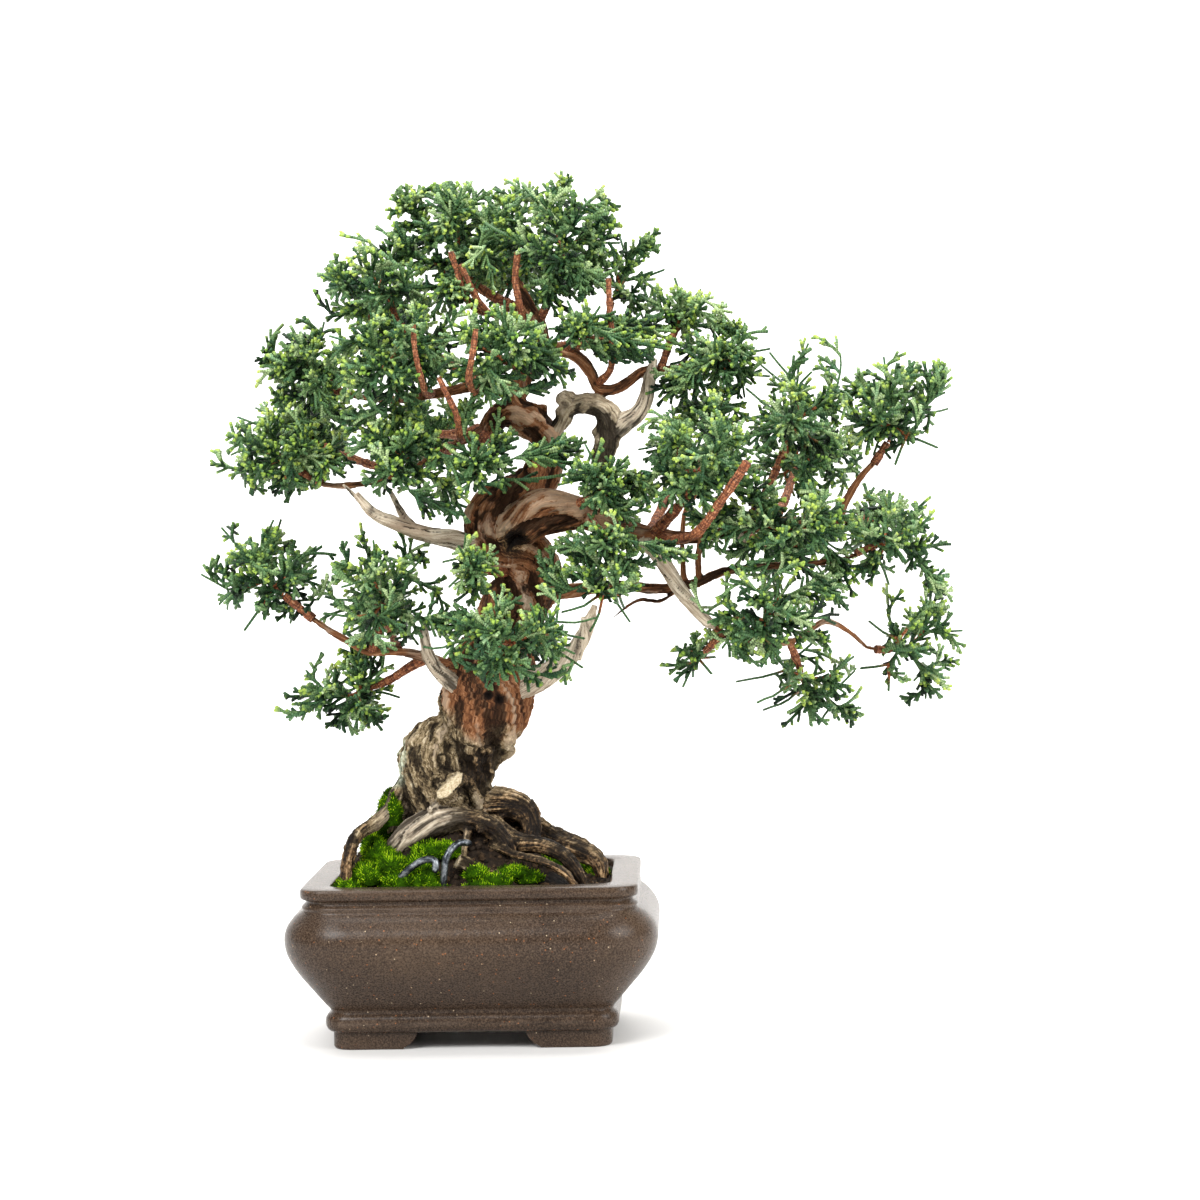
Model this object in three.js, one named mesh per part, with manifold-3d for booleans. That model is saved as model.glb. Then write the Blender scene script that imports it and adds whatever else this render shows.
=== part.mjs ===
// Kishu juniper bonsai in an unglazed brown pot.
// Millimetres, +Z up, the front toward -Y, the feet of the pot on Z = 0.

import * as THREE from 'three';
import { mergeVertices } from 'three/addons/utils/BufferGeometryUtils.js';
import Module from 'manifold-3d';

const wasm = await Module();
wasm.setup();

// Driving dimensions of the pot
const POT_NARROWER = 12;
const FOOT_HEIGHT = 6;
const FLOOR_TOP = 12;
const MOUTH_HALF_X = 49;
const MOUTH_HALF_Y = 37;
const FOOT_HALF_X = 49;
const FOOT_HALF_Y = 37;
const FOOT_CORNER = 7;
const FOOT_WIDTH = 9;
const FOOT_GAP_X = 19;
const FOOT_GAP_Y = 14;
const FOOT_BRACKET = 5;
const CORNER_STEPS = 3;
const DRAIN_RADIUS = 6;
const DRAIN_OFFSET = 24;
const WIRE_HOLES = [[-32, -17], [-22, -17]];
const WIRE_HOLE_RADIUS = 1.9;

// Driving dimensions of what the pot holds
const GAP = 0.35;
const SCREEN_SIZE = 17;
const SCREEN_THICKNESS = 0.9;
const SCREEN_BAR = 1.2;
const SCREEN_CELLS = 3;
const SOIL_EDGE = 54.5;
const SOIL_MOUND = 29;
const WIRE_RADIUS = 1.25;

// Driving dimensions of the crown: how much deeper it spreads than the routes below are drawn
const CROWN_DEPTH = 1.3;
const STEM_RADIUS = 0.95;
const SHOOT_RADIUS = 0.78;
const TIP_TAPER = 0.85;
const LONGEST_SHOOT = 12;
const GOLDEN_ANGLE = Math.PI * (3 - Math.sqrt(5));

// Height, half width of the pot's outside and its corner radius. The half depth is
// POT_NARROWER less.
const OUTER_PROFILE = [
  [6, 49.6, 7], [6.7, 50.8, 8], [9.5, 51.7, 9], [12.3, 50.8, 8], [13, 49.6, 7],
  [16, 51.8, 9], [21, 56, 13], [27, 61, 18], [33, 64.6, 22], [38.5, 65.8, 24],
  [43, 64.8, 23], [47, 61.8, 19], [49.3, 58.6, 13], [50.1, 58.9, 13], [51.3, 58.6, 13],
  [52, 57.3, 11], [53.2, 57.3, 11], [53.6, 59, 10], [56.7, 59, 10], [57.3, 58.4, 9.5],
];

// The same for the pot's inside, from the mouth down
const INNER_PROFILE = [
  [57.3, 49, 7], [51, 49, 7], [46.5, 55.5, 15], [39, 60, 20], [31, 58, 19],
  [20, 50, 14], [12, 44.5, 10],
];

// Closed surface through rings of points, each ring with the same count
function loft(rings) {
  const count = rings[0].length;
  const positions = [];
  for (const ring of rings) {
    for (const point of ring) positions.push(point.x, point.y, point.z);
  }
  const first = rings.length * count;
  for (const ring of [rings[0], rings[rings.length - 1]]) {
    const centre = new THREE.Vector3();
    for (const point of ring) centre.addScaledVector(point, 1 / count);
    positions.push(centre.x, centre.y, centre.z);
  }
  const index = [];
  for (let j = 0; j < count; j++) {
    const next = (j + 1) % count;
    index.push(first, next, j);
    for (let i = 0; i < rings.length - 1; i++) {
      const a = i * count + j;
      const b = i * count + next;
      index.push(a, b, b + count, a, b + count, a + count);
    }
    const last = first - count;
    index.push(first + 1, last + j, last + next);
  }
  const geometry = new THREE.BufferGeometry();
  geometry.setAttribute('position', new THREE.Float32BufferAttribute(positions, 3));
  geometry.setIndex(index);
  return geometry;
}

// Solid from a closed geometry
function solid(geometry) {
  const bare = geometry.clone();
  bare.deleteAttribute('normal');
  bare.deleteAttribute('uv');
  const merged = mergeVertices(bare, 1e-5);
  return new wasm.Manifold(new wasm.Mesh({
    numProp: 3,
    vertProperties: new Float32Array(merged.attributes.position.array),
    triVerts: new Uint32Array(merged.index.array),
  }));
}

// Geometry from a solid
function geometryOf(body) {
  const mesh = body.getMesh();
  const geometry = new THREE.BufferGeometry();
  geometry.setAttribute('position', new THREE.Float32BufferAttribute(mesh.vertProperties, 3));
  geometry.setIndex(Array.from(mesh.triVerts));
  geometry.computeVertexNormals();
  return geometry;
}

// All solids joined in pairs, so that the joins stay small
function joinAll(bodies) {
  let level = bodies;
  while (level.length > 1) {
    const next = [];
    for (let i = 0; i < level.length; i += 2) {
      next.push(i + 1 < level.length ? level[i].add(level[i + 1]) : level[i]);
    }
    level = next;
  }
  return level[0];
}

// The largest body of a solid, without the loose scraps of a cut
function mainBody(body) {
  const pieces = body.decompose();
  return pieces.reduce((best, piece) => (piece.volume() > best.volume() ? piece : best));
}

// Rounded rectangle at height z, counter-clockwise from above
function roundedRing(halfX, halfY, radius, z) {
  const points = [];
  for (let corner = 0; corner < 4; corner++) {
    const signX = corner === 0 || corner === 3 ? 1 : -1;
    const signY = corner < 2 ? 1 : -1;
    for (let k = 0; k <= CORNER_STEPS; k++) {
      const angle = (corner + k / CORNER_STEPS) * Math.PI / 2;
      const x = signX * (halfX - radius) + radius * Math.cos(angle);
      const y = signY * (halfY - radius) + radius * Math.sin(angle);
      points.push(new THREE.Vector3(x, y, z));
    }
  }
  return points;
}

// Upright round cutter
function drill(x, y, radius, sides) {
  const geometry = new THREE.CylinderGeometry(radius, radius, 20, sides);
  geometry.rotateX(Math.PI / 2);
  geometry.translate(x, y, FLOOR_TOP - 4);
  return solid(geometry);
}

// Cutter for the gap between two feet, with the curved brackets on both sides
function footCutter(halfGap, turned) {
  const shape = new THREE.Shape();
  const wide = halfGap + FOOT_BRACKET;
  shape.moveTo(-wide, -2);
  shape.lineTo(wide, -2);
  shape.lineTo(wide, 0.6);
  shape.quadraticCurveTo(halfGap + 0.8, 2.4, halfGap, FOOT_HEIGHT);
  shape.lineTo(halfGap, FOOT_HEIGHT + 2);
  shape.lineTo(-halfGap, FOOT_HEIGHT + 2);
  shape.lineTo(-halfGap, FOOT_HEIGHT);
  shape.quadraticCurveTo(-halfGap - 0.8, 2.4, -wide, 0.6);
  const geometry = new THREE.ExtrudeGeometry(shape, { depth: 160, bevelEnabled: false, curveSegments: 4 });
  geometry.translate(0, 0, -80);
  geometry.rotateX(Math.PI / 2);
  if (turned) geometry.rotateZ(Math.PI / 2);
  return solid(geometry);
}

// Pot: bellied body with a flat rim, a base band and holes through its floor
function makePot() {
  const rings = OUTER_PROFILE.map(([z, half, r]) => roundedRing(half, half - POT_NARROWER, r, z));
  const mouth = MOUTH_HALF_X - MOUTH_HALF_Y;
  for (const [z, half, r] of INNER_PROFILE) rings.push(roundedRing(half, half - mouth, r, z));
  let pot = solid(loft(rings));
  for (const side of [-1, 1]) pot = pot.subtract(drill(side * DRAIN_OFFSET, 0, DRAIN_RADIUS, 16));
  for (const [x, y] of WIRE_HOLES) pot = pot.subtract(drill(x, y, WIRE_HOLE_RADIUS, 8));
  return pot;
}

// Four bracket feet, moulded apart and joined under the corners of the body
function makeFeet() {
  const block = solid(loft([
    roundedRing(FOOT_HALF_X - 0.6, FOOT_HALF_Y - 0.6, FOOT_CORNER - 0.6, 0),
    roundedRing(FOOT_HALF_X, FOOT_HALF_Y, FOOT_CORNER, 0.8),
    roundedRing(FOOT_HALF_X, FOOT_HALF_Y, FOOT_CORNER, FOOT_HEIGHT - GAP),
  ]));
  const hollow = solid(loft([
    roundedRing(FOOT_HALF_X - FOOT_WIDTH, FOOT_HALF_Y - FOOT_WIDTH, 5, -1),
    roundedRing(FOOT_HALF_X - FOOT_WIDTH, FOOT_HALF_Y - FOOT_WIDTH, 5, FOOT_HEIGHT + 1),
  ]));
  return block.subtract(hollow)
    .subtract(footCutter(FOOT_GAP_X, false))
    .subtract(footCutter(FOOT_GAP_Y, true))
    .decompose();
}

// Square drainage screen with rows of square holes, flat on the floor
function makeScreen(x) {
  const height = FLOOR_TOP + 0.3 + SCREEN_THICKNESS / 2;
  const plate = new THREE.BoxGeometry(SCREEN_SIZE, SCREEN_SIZE, SCREEN_THICKNESS);
  plate.translate(x, 0, height);
  let screen = solid(plate);
  const pitch = (SCREEN_SIZE - SCREEN_BAR) / SCREEN_CELLS;
  const middle = (SCREEN_CELLS - 1) / 2;
  for (let row = 0; row < SCREEN_CELLS; row++) {
    for (let column = 0; column < SCREEN_CELLS; column++) {
      const hole = new THREE.BoxGeometry(pitch - SCREEN_BAR, pitch - SCREEN_BAR, 3);
      hole.translate(x + (column - middle) * pitch, (row - middle) * pitch, height);
      screen = screen.subtract(solid(hole));
    }
  }
  return screen;
}

// Room for a screen, cut out of the soil above it
function screenRoom(x) {
  const size = SCREEN_SIZE + 2 * GAP;
  const geometry = new THREE.BoxGeometry(size, size, SCREEN_THICKNESS + 2);
  geometry.translate(x, 0, FLOOR_TOP + 0.3 + SCREEN_THICKNESS + GAP - (SCREEN_THICKNESS + 2) / 2);
  return solid(geometry);
}

// Limb along hand-set stations [x, y, z, radius], with a lobed and twisted section.
// steps is the count of rings in each span, grow widens the limb all round.
function limb(stations, { sides = 6, steps = 1, lobe = 0, twist = 0, grow = 0 } = {}) {
  const points = stations.map(([x, y, z]) => new THREE.Vector3(x, y, z));
  const curve = new THREE.CatmullRomCurve3(points, false, 'centripetal');
  const spans = stations.length - 1;
  const count = spans * steps;
  const rings = [];
  let normal = null;
  let travelled = 0;
  let previous = null;
  for (let i = 0; i <= count; i++) {
    const t = i / count;
    const centre = curve.getPoint(t);
    const along = curve.getTangent(t).normalize();
    if (normal === null) {
      const helper = Math.abs(along.y) < 0.8 ? new THREE.Vector3(0, 1, 0) : new THREE.Vector3(1, 0, 0);
      normal = new THREE.Vector3().crossVectors(helper, along).normalize();
    } else {
      normal.addScaledVector(along, -normal.dot(along)).normalize();
      travelled += centre.distanceTo(previous);
    }
    previous = centre;
    const side = new THREE.Vector3().crossVectors(along, normal);
    const span = Math.min(Math.floor(i / steps), spans - 1);
    const part = i / steps - span;
    const ease = part * part * (3 - 2 * part);
    const radius = stations[span][3] * (1 - ease) + stations[span + 1][3] * ease;
    const ring = [];
    for (let j = 0; j < sides; j++) {
      const angle = 2 * Math.PI * j / sides;
      const turn = angle + twist * travelled;
      const relief = 1 + lobe * (0.6 * Math.cos(2 * turn) + 0.4 * Math.cos(3 * turn + 1));
      const reach = radius * relief + grow;
      ring.push(centre.clone()
        .addScaledVector(normal, reach * Math.cos(angle))
        .addScaledVector(side, reach * Math.sin(angle)));
    }
    rings.push(ring);
  }
  return solid(loft(rings));
}

// Main trunk, from the root crown up through the S-bend to the hook
const TRUNK = [
  [-1, 4, 67.5, 8], [-2, 3, 77.5, 8.2], [-2.5, 2, 87, 8.4], [-1, 1, 96, 10],
  [1.5, 0, 107, 13.6], [5, -2, 118, 16.5], [7, -2, 128.5, 16], [10.5, -1, 139.5, 13.6],
  [15.5, 1, 151, 12.9], [19.5, 2, 161.5, 11.9], [17.5, 1, 171, 10.8], [10.5, -2, 178, 10.8],
  [10, -4, 185, 10], [16.5, -3, 191.5, 9.3], [24, -1, 198.5, 7.5], [28, 0, 206.5, 6.1],
  [28, 0, 213.5, 5.7], [23.5, 0, 220, 6.1], [17, 2, 223, 5.8], [11.5, 4, 221.5, 5],
  [7.5, 6, 217.5, 4], [5.5, 7, 213, 2.9],
];
const UPPER_TRUNK = [
  [23, 0, 218.5, 5], [17.5, 2, 226.5, 4.7], [19, 3, 233, 4.3], [23, 3, 239, 4],
  [27, 2, 245, 3.6], [26, 3, 253, 3.2], [22, 5, 261.5, 2.5], [17.5, 8, 271.5, 1.8],
];
const LEFT_LOBE = [
  [-12.5, -6, 70.5, 7.1], [-13.5, -6, 81.5, 8.9], [-15.5, -5, 90.5, 11.1],
  [-15.5, -4, 99, 12], [-13, -3, 105, 10.2], [-7, -2, 109, 8], [1, 0, 112, 7],
];
const CUT_STUB = [[-4.5, -4, 84.5, 7.2], [-6.5, -13, 88.5, 7.1], [-7.5, -19, 91, 6.5]];

// Roots that leave the crown and go down into the soil
const ROOTS = [
  [[-22.5, -2, 93, 3.9], [-26.5, -6, 88, 3.2], [-30.5, -12, 81, 2.8], [-35.5, -18, 77, 2.8],
    [-40, -24, 74.5, 2.8], [-42, -28, 69.5, 2.8], [-43.5, -30, 62, 2.4], [-44, -30, 52, 1.7]],
  [[-31, -16, 61, 3.2], [-26.5, -16, 69, 4.6], [-20, -16, 74, 5.7], [-11.5, -15, 77.5, 5.7],
    [-2.5, -15, 78.5, 4.6], [6.5, -17, 75.5, 4.2], [12, -19, 70, 3.5], [14.5, -19, 61, 2.5]],
  [[-2, 3, 82, 6.5], [9.5, 1, 81.5, 5.8], [17.5, -1, 79.5, 5], [20.5, -4, 74, 3.9], [19.5, -8, 66, 2.9]],
  [[6, -6, 74.5, 4.6], [14.5, -12, 70, 3.9], [26.5, -19, 68.5, 3.5], [34, -23, 64.5, 3.2],
    [38.5, -25, 58, 2.5], [41, -25, 50, 1.8]],
  [[7, 6, 78.5, 5.1], [18, 7, 74.5, 4.3], [29, 5, 68.5, 4], [38.5, 1, 64.5, 4],
    [44.5, -3, 60.5, 3.2], [46, -5, 51, 2.1]],
  [[6.5, -18, 70, 1.8], [15, -26, 67, 1.6], [24, -30, 65, 1.6], [33, -32, 61, 1.6], [38.5, -32, 54, 1.1]],
  [[-3, -8, 76.5, 1.5], [-1, -18, 73.5, 1.8], [-2.5, -23, 67.5, 1.8], [-4, -24, 60, 1.4]],
  [[-4.5, -31, 65.5, 2.8], [-0.5, -30, 63, 2.8], [4, -26, 60, 2.6], [4, -15, 62, 3], [2, -2, 71, 4]],
  [[2, -27.5, 61.5, 2.2], [11, -30.5, 59, 2.1], [19, -31, 52.5, 1.4]],
  [[-3, 10, 82.5, 5.4], [-12.5, 22, 73, 4], [-23, 29, 63, 3], [-30, 31, 48.5, 1.9]],
  [[5.5, 10, 81.5, 5.4], [14, 22, 71.5, 4], [23.5, 28, 60.5, 2.9], [28, 30, 47, 1.8]],
  [[-16, 4, 83, 4.7], [-25, 10, 73, 3.6], [-34, 14, 65.5, 2.9], [-40.5, 16, 58, 2.2], [-42, 16, 49.5, 1.5]],
];
const ROOT_STUBS = [
  [[4.5, -12, 73, 1.7], [3.5, -23, 75.5, 1.9]],
  [[-10, -10, 83.5, 1.5], [-14.5, -20, 82.5, 1.6]],
];

// Bare deadwood
const DEADWOOD = [
  [[15.5, -6, 122, 4.6], [26.5, -10, 125.5, 4.6], [35, -14, 131.5, 3.9], [40.5, -17, 139, 3.2],
    [43.5, -19, 146, 2.5], [45.5, -20, 153, 1.1]],
  [[38, -16, 135, 2.2], [41, -20, 143, 1.9], [41.5, -23, 150, 0.9]],
  [[4.5, -3, 174.5, 4.7], [-5.5, -9, 178, 3.6], [-15, -13, 180, 3.2], [-25, -16, 184, 2.8],
    [-32.5, -18, 188, 2.1], [-38, -19, 194.5, 1.1]],
  [[-17.5, -13, 181, 1.8], [-22.5, -12, 187, 1.6], [-25.5, -11, 192.5, 1.2], [-27.5, -11, 196.5, 0.9]],
  [[-30.5, -17, 187, 1.4], [-37.5, -16, 192.5, 1.1], [-43, -15, 198, 0.7]],
  [[29, 0, 212.5, 3.2], [33.5, -2, 219, 2.9], [38, -3, 223.5, 3.2], [44.5, -4, 225, 3.2],
    [50, -5, 222, 3.6], [50.5, -5, 215, 3.6], [48.5, -6, 207, 3.2], [47.5, -7, 198, 3.2], [46.5, -8, 186.5, 3.2]],
  [[38.5, -3, 223, 2.9], [36, -4, 227, 2.9], [33.5, -5, 228.5, 1.8]],
  [[50, -5, 212, 3.2], [55.5, -5, 217.5, 3.9], [60.5, -4, 220.5, 3.2], [64, -3, 225.5, 2.9],
    [65.5, -2, 232, 2.5], [67.5, 0, 241, 1.4]],
  [[61.5, -8, 178, 3.2], [67, -10, 172, 2.8], [71.5, -12, 165, 2.8], [75.5, -14, 158.5, 2.8],
    [80.5, -15, 152, 2.5], [86, -16, 146, 2.1]],
  [[88.5, -12, 191, 1.5], [92, -8, 183, 2.1], [99.5, -13, 175, 1.6]],
  [[-4, -8, 124, 3.2], [-13, -10, 133.5, 2.5], [-15.5, -11, 142, 2.1], [-16, -11, 150.5, 1.1]],
];

// Living branches
const BRANCHES = [
  [[11, -5, 176.5, 5], [19, -9, 185, 5.3], [28, -11, 189.5, 5.7], [36.5, -10, 187.5, 5.3],
    [45, -9, 184, 4.6], [54.5, -8, 180.5, 3.9], [65.5, -8, 177.5, 3.6], [80, -6, 176.5, 3.2],
    [94.5, -4, 179, 2.9], [108.5, -2, 181, 2.5], [121.5, 0, 181.5, 2.2], [131, 2, 180.5, 2.2],
    [135.5, 4, 189, 2], [141, 6, 197, 1.8], [148, 7, 204.5, 1.6]],
  [[20.5, 2, 159.5, 4], [33, -1, 158, 3.2], [44, -3, 159.5, 2.9], [54.5, -5, 160, 2.7],
    [64.5, -6, 159, 2.7], [73.5, -6, 159, 2.5], [82, -6, 161, 2.5], [91, -7, 164.5, 2.3],
    [104, -7, 166, 2.1], [117.5, -6, 166.5, 1.8], [132, -5, 168, 1.6], [142.5, -3, 171, 1.3]],
  [[51, -8, 148.5, 1.1], [55.5, -8, 152, 1.4], [61, -8, 155, 1.6], [68, -8, 154.5, 1.6], [74.5, -7, 158, 1.4]],
  [[83.5, -15, 148.5, 2.1], [92, -14, 142, 1.9], [104, -12, 138.5, 1.8], [116.5, -9, 140, 1.6],
    [126.5, -6, 146, 1.6], [135.5, 0, 142, 1.4], [142.5, 5, 136, 1.4], [148.5, 8, 134.5, 1.4]],
  [[2, -4, 128, 3.2], [-14.5, -9, 135.5, 2.5], [-25, -9, 138, 2.1], [-35.5, -8, 138, 2],
    [-43, -7, 141.5, 1.8], [-50.5, -6, 146, 1.8], [-61, -5, 153.5, 1.6]],
  [[8.5, 5, 218, 3.2], [0, 3, 214, 2.5], [-11, 1, 207.5, 2.2], [-24, 0, 201.5, 2],
    [-38, -2, 198, 1.8], [-51, -4, 198, 1.4], [-57.5, -4, 201, 1.4]],
  [[18, 2, 228.5, 3.2], [6.5, 0, 232.5, 2.9], [-7, -4, 230.5, 2.5], [-22, -4, 228, 2.1],
    [-37.5, -1, 229, 1.8], [-50.5, 4, 233.5, 1.4]],
  [[26.5, 2, 244, 3.2], [35.5, -1, 244.5, 2.9], [41.5, -3, 241, 2.9], [45, -3, 236, 2.9],
    [47.5, -3, 231, 2.9], [52, -3, 230, 2.9], [57.5, -2, 232.5, 2.7], [63.5, 0, 236.5, 2.5],
    [71, 2, 237, 2.2], [84, 2, 239, 1.6]],
  [[82, -6, 160, 1.8], [82.5, -9, 173, 1.8], [87, -11, 184.5, 2], [92.5, -13, 193, 2.1], [100, -15, 203, 2.3]],
  [[77, -6, 159, 1.8], [76.5, -2, 171.5, 1.6], [77, 2, 183, 1.6], [80, 6, 193, 1.3]],
];

// Foliage sprays: where each fills the crown, and the twig that carries it
const SPRAYS = [
  { name: 'crown_left', shoots: 18, centre: [-1.5, 10, 285], half: [21.5, 22, 21.5],
    twig: [[23, 4, 258, 2.2], [12, 6, 263.5, 2], [3.5, 8, 269.5, 1.6], [-1.5, 10, 277.5, 1.3]] },
  { name: 'crown_right', shoots: 18, centre: [34, 0, 284.5], half: [21, 22, 21.5],
    twig: [[25.5, 3, 253.5, 1.8], [30, 2, 263, 1.6], [33, 1, 272.5, 1.3]] },
  { name: 'upper_left', shoots: 14, centre: [-31.5, -5, 268], half: [19.5, 20, 18],
    twig: [[-15, -5, 229, 1.8], [-16.5, -6, 244.5, 1.6], [-21.5, -6, 254.5, 1.4], [-26.5, -5, 262, 1.3]] },
  { name: 'upper_right', shoots: 10, centre: [60, 15, 270.5], half: [11, 14, 18.5],
    twig: [[27, 2, 245, 2.5], [39, 6, 246.5, 2.2], [49, 10, 250.5, 1.8], [52, 13, 262.5, 1.3]] },
  { name: 'mid_left', shoots: 16, centre: [-24.5, -25, 241], half: [20.5, 18, 20.5],
    twig: [[-22, -4, 228, 1.8], [-24, -12, 233, 1.4], [-24.5, -18, 237, 1.2]] },
  { name: 'mid_front', shoots: 16, centre: [12.5, -26, 243.5], half: [22.5, 18, 17],
    twig: [[22.5, 0, 238, 2.2], [18, -10, 239, 1.6], [15, -18, 240, 1.2]] },
  { name: 'outer_left', shoots: 14, centre: [-56, 5, 239], half: [17.5, 20, 17.5],
    twig: [[-45, 2, 231, 1.7], [-50.5, 4, 233.5, 1.3]] },
  { name: 'low_left', shoots: 16, centre: [-67.5, -5, 208.5], half: [22, 22, 15.5],
    twig: [[-52, -4, 198.5, 1.5], [-60, -5, 203, 1.3]] },
  { name: 'inner_left', shoots: 13, centre: [-22, -20, 209.5], half: [17.5, 18, 17.5],
    twig: [[-6, 2, 210.5, 2.2], [-12, -9, 209, 1.6], [-17, -14, 207.5, 1.2]] },
  { name: 'hook_front', shoots: 10, centre: [6, -22, 203.5], half: [13.5, 12, 12],
    twig: [[6.5, 5, 216, 2.2], [5.5, -7, 211, 1.6], [5.5, -15, 206.5, 1.2]] },
  { name: 'bend_front', shoots: 10, centre: [48.5, -26, 197.5], half: [13.5, 12, 13.5],
    twig: [[39.5, -12, 189, 1.8], [44, -17, 192, 1.4], [46, -20, 193.5, 1.2]] },
  { name: 'reach_up', shoots: 8, centre: [77, 10, 259.5], half: [14, 14, 11.5],
    twig: [[69.5, 2, 236.5, 1.8], [72.5, 5, 245, 1.4], [75.5, 8, 252, 1.3]] },
  { name: 'reach_right', shoots: 12, centre: [95, 0, 239.5], half: [14, 16, 14],
    twig: [[80, 2, 238.5, 1.8], [88, 1, 239.5, 1.3]] },
  { name: 'right_inner', shoots: 16, centre: [83.5, -22, 204], half: [21, 18, 21],
    twig: [[65.5, -8, 177.5, 2.5], [73.5, -14, 186, 1.9], [80, -18, 193.5, 1.6], [82.5, -20, 198, 1.2]] },
  { name: 'right_mid', shoots: 18, centre: [119.5, 0, 221.5], half: [21, 22, 25],
    twig: [[95.5, -4, 179, 2], [103.5, -4, 187, 2], [109, -3, 197.5, 1.6], [114, -1, 208, 1.4], [117, 0, 213, 1.3]] },
  { name: 'right_high', shoots: 15, centre: [154, 8, 220], half: [19.5, 20, 20.5],
    twig: [[146, 7, 202, 1.7], [151, 8, 209.5, 1.3]] },
  { name: 'right_low', shoots: 18, centre: [111.5, -16, 178.5], half: [28, 18, 17.5],
    twig: [[108.5, -2, 181, 2.2], [110, -7, 180, 1.6], [111, -11, 179, 1.2]] },
  { name: 'right_end', shoots: 13, centre: [152.5, -2, 174], half: [19, 18, 17.5],
    twig: [[138, -4, 170, 1.5], [145, -2.5, 172.5, 1.3]] },
  { name: 'drop_front', shoots: 14, centre: [105.5, -20, 150.5], half: [22.5, 18, 17.5],
    twig: [[97.5, -13, 140, 1.8], [101, -15.5, 143, 1.4], [103, -17, 145.5, 1.2]] },
  { name: 'drop_right', shoots: 14, centre: [158.5, 10, 135.5], half: [18, 16, 23],
    twig: [[145.5, 6.5, 135, 1.5], [151, 8.5, 134.5, 1.3]] },
  { name: 'drop_low', shoots: 14, centre: [119.5, 0, 122], half: [22.5, 16, 16.5],
    twig: [[114, -9, 139.5, 1.6], [116.5, -4, 132.5, 1.4], [118, -1.5, 128, 1.3]] },
  { name: 'drop_tip', shoots: 7, centre: [79.5, -8, 131], half: [9.5, 9, 8.5],
    twig: [[90.5, -14, 143, 1.6], [86.5, -12, 139, 1.4], [84, -10.5, 136.5, 1.2]] },
  { name: 'bend_low', shoots: 11, centre: [48.5, -28, 158.5], half: [15, 14, 15.5],
    twig: [[46.5, -3, 159.5, 1.8], [47.5, -14, 159, 1.4], [48.5, -21, 158.5, 1.2]] },
  { name: 'front_low', shoots: 19, centre: [18, -38, 143], half: [29, 18, 17.5],
    twig: [[12, -8, 138, 2.5], [14.5, -20, 139, 1.8], [16.5, -29, 140.5, 1.4]] },
  { name: 'far_left', shoots: 16, centre: [-73, -5, 165], half: [21.5, 22, 21.5],
    twig: [[-56, -5.5, 150, 1.7], [-66.5, -5, 158.5, 1.3]] },
  { name: 'left_low', shoots: 18, centre: [-30, -12, 159.5], half: [20, 20, 24],
    twig: [[-35, -8, 138, 1.8], [-32.5, -10, 144.5, 1.6], [-31, -11.5, 151.5, 1.2]] },
  { name: 'left_under', shoots: 12, centre: [-46, 0, 121], half: [19.5, 16, 12.5],
    twig: [[-15, -8, 136, 2.1], [-23, -4, 131.5, 1.8], [-29.5, -2, 127.5, 1.6], [-37, 0, 124.5, 1.3]] },
  { name: 'trunk_front', shoots: 8, centre: [2.5, -28, 168.5], half: [10, 10, 12],
    twig: [[13, -6, 165.5, 1.8], [7.5, -16, 166.5, 1.4], [5, -22, 167.5, 1.2]] },
  { name: 'bend_mid', shoots: 8, centre: [50, -30, 177], half: [12, 10, 9.5],
    twig: [[44.5, -12, 183.5, 1.8], [47, -19, 181, 1.4], [48.5, -24, 179, 1.2]] },
  { name: 'gap_high', shoots: 10, centre: [41, -14, 252], half: [10, 12, 9],
    twig: [[37, -2, 244.5, 1.8], [39, -6, 246.5, 1.4], [40, -9, 248.5, 1.2]] },
  { name: 'gap_right', shoots: 10, centre: [88, 6, 222], half: [14, 12, 9],
    twig: [[79.5, 5, 190, 1.6], [84, 6, 201, 1.4], [87, 6, 211, 1.2]] },
  { name: 'back_crown', shoots: 13, centre: [14, 45, 284.5], half: [20.5, 20, 22.5],
    twig: [[24.5, 3, 251.5, 2.2], [21, 18, 262, 1.8], [17, 34, 272.5, 1.5]] },
  { name: 'back_left_high', shoots: 13, centre: [-29.5, 42, 256.5], half: [20.5, 20, 19.5],
    twig: [[6, 2, 232.5, 2.2], [-6.5, 18, 240.5, 1.8], [-19, 30, 248, 1.5]] },
  { name: 'back_left_mid', shoots: 12, centre: [-23.5, 48, 218], half: [20.5, 20, 15],
    twig: [[7.5, 5, 218, 2.2], [-4, 22, 216, 1.8], [-14.5, 38, 216.5, 1.5]] },
  { name: 'back_left_out', shoots: 12, centre: [-65, 38, 218.5], half: [18.5, 18, 15],
    twig: [[-24.5, 1, 201.5, 1.8], [-44, 18, 207.5, 1.6], [-57, 30, 213, 1.3]] },
  { name: 'back_right_in', shoots: 13, centre: [80.5, 40, 207.5], half: [19.5, 20, 17.5],
    twig: [[65, -6, 178, 2.2], [70, 14, 189, 1.8], [76, 30, 199.5, 1.5]] },
  { name: 'back_right_mid', shoots: 14, centre: [122, 50, 208], half: [21.5, 20, 19],
    twig: [[109, -1, 181.5, 1.8], [114.5, 22, 190, 1.6], [119, 38, 200.5, 1.3]] },
  { name: 'back_right_low', shoots: 13, centre: [116.5, 42, 172.5], half: [24, 20, 17],
    twig: [[94.5, -2, 179, 1.8], [103, 18, 175, 1.6], [111.5, 32, 172.5, 1.3]] },
  { name: 'back_low', shoots: 11, centre: [11.5, 38, 139], half: [22.5, 18, 13],
    twig: [[12, 8, 140.5, 2.2], [10.5, 22, 138.5, 1.8], [10.5, 30, 138, 1.5]] },
  { name: 'back_left_low', shoots: 11, centre: [-38.5, 30, 154], half: [17.5, 16, 15.5],
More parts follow.
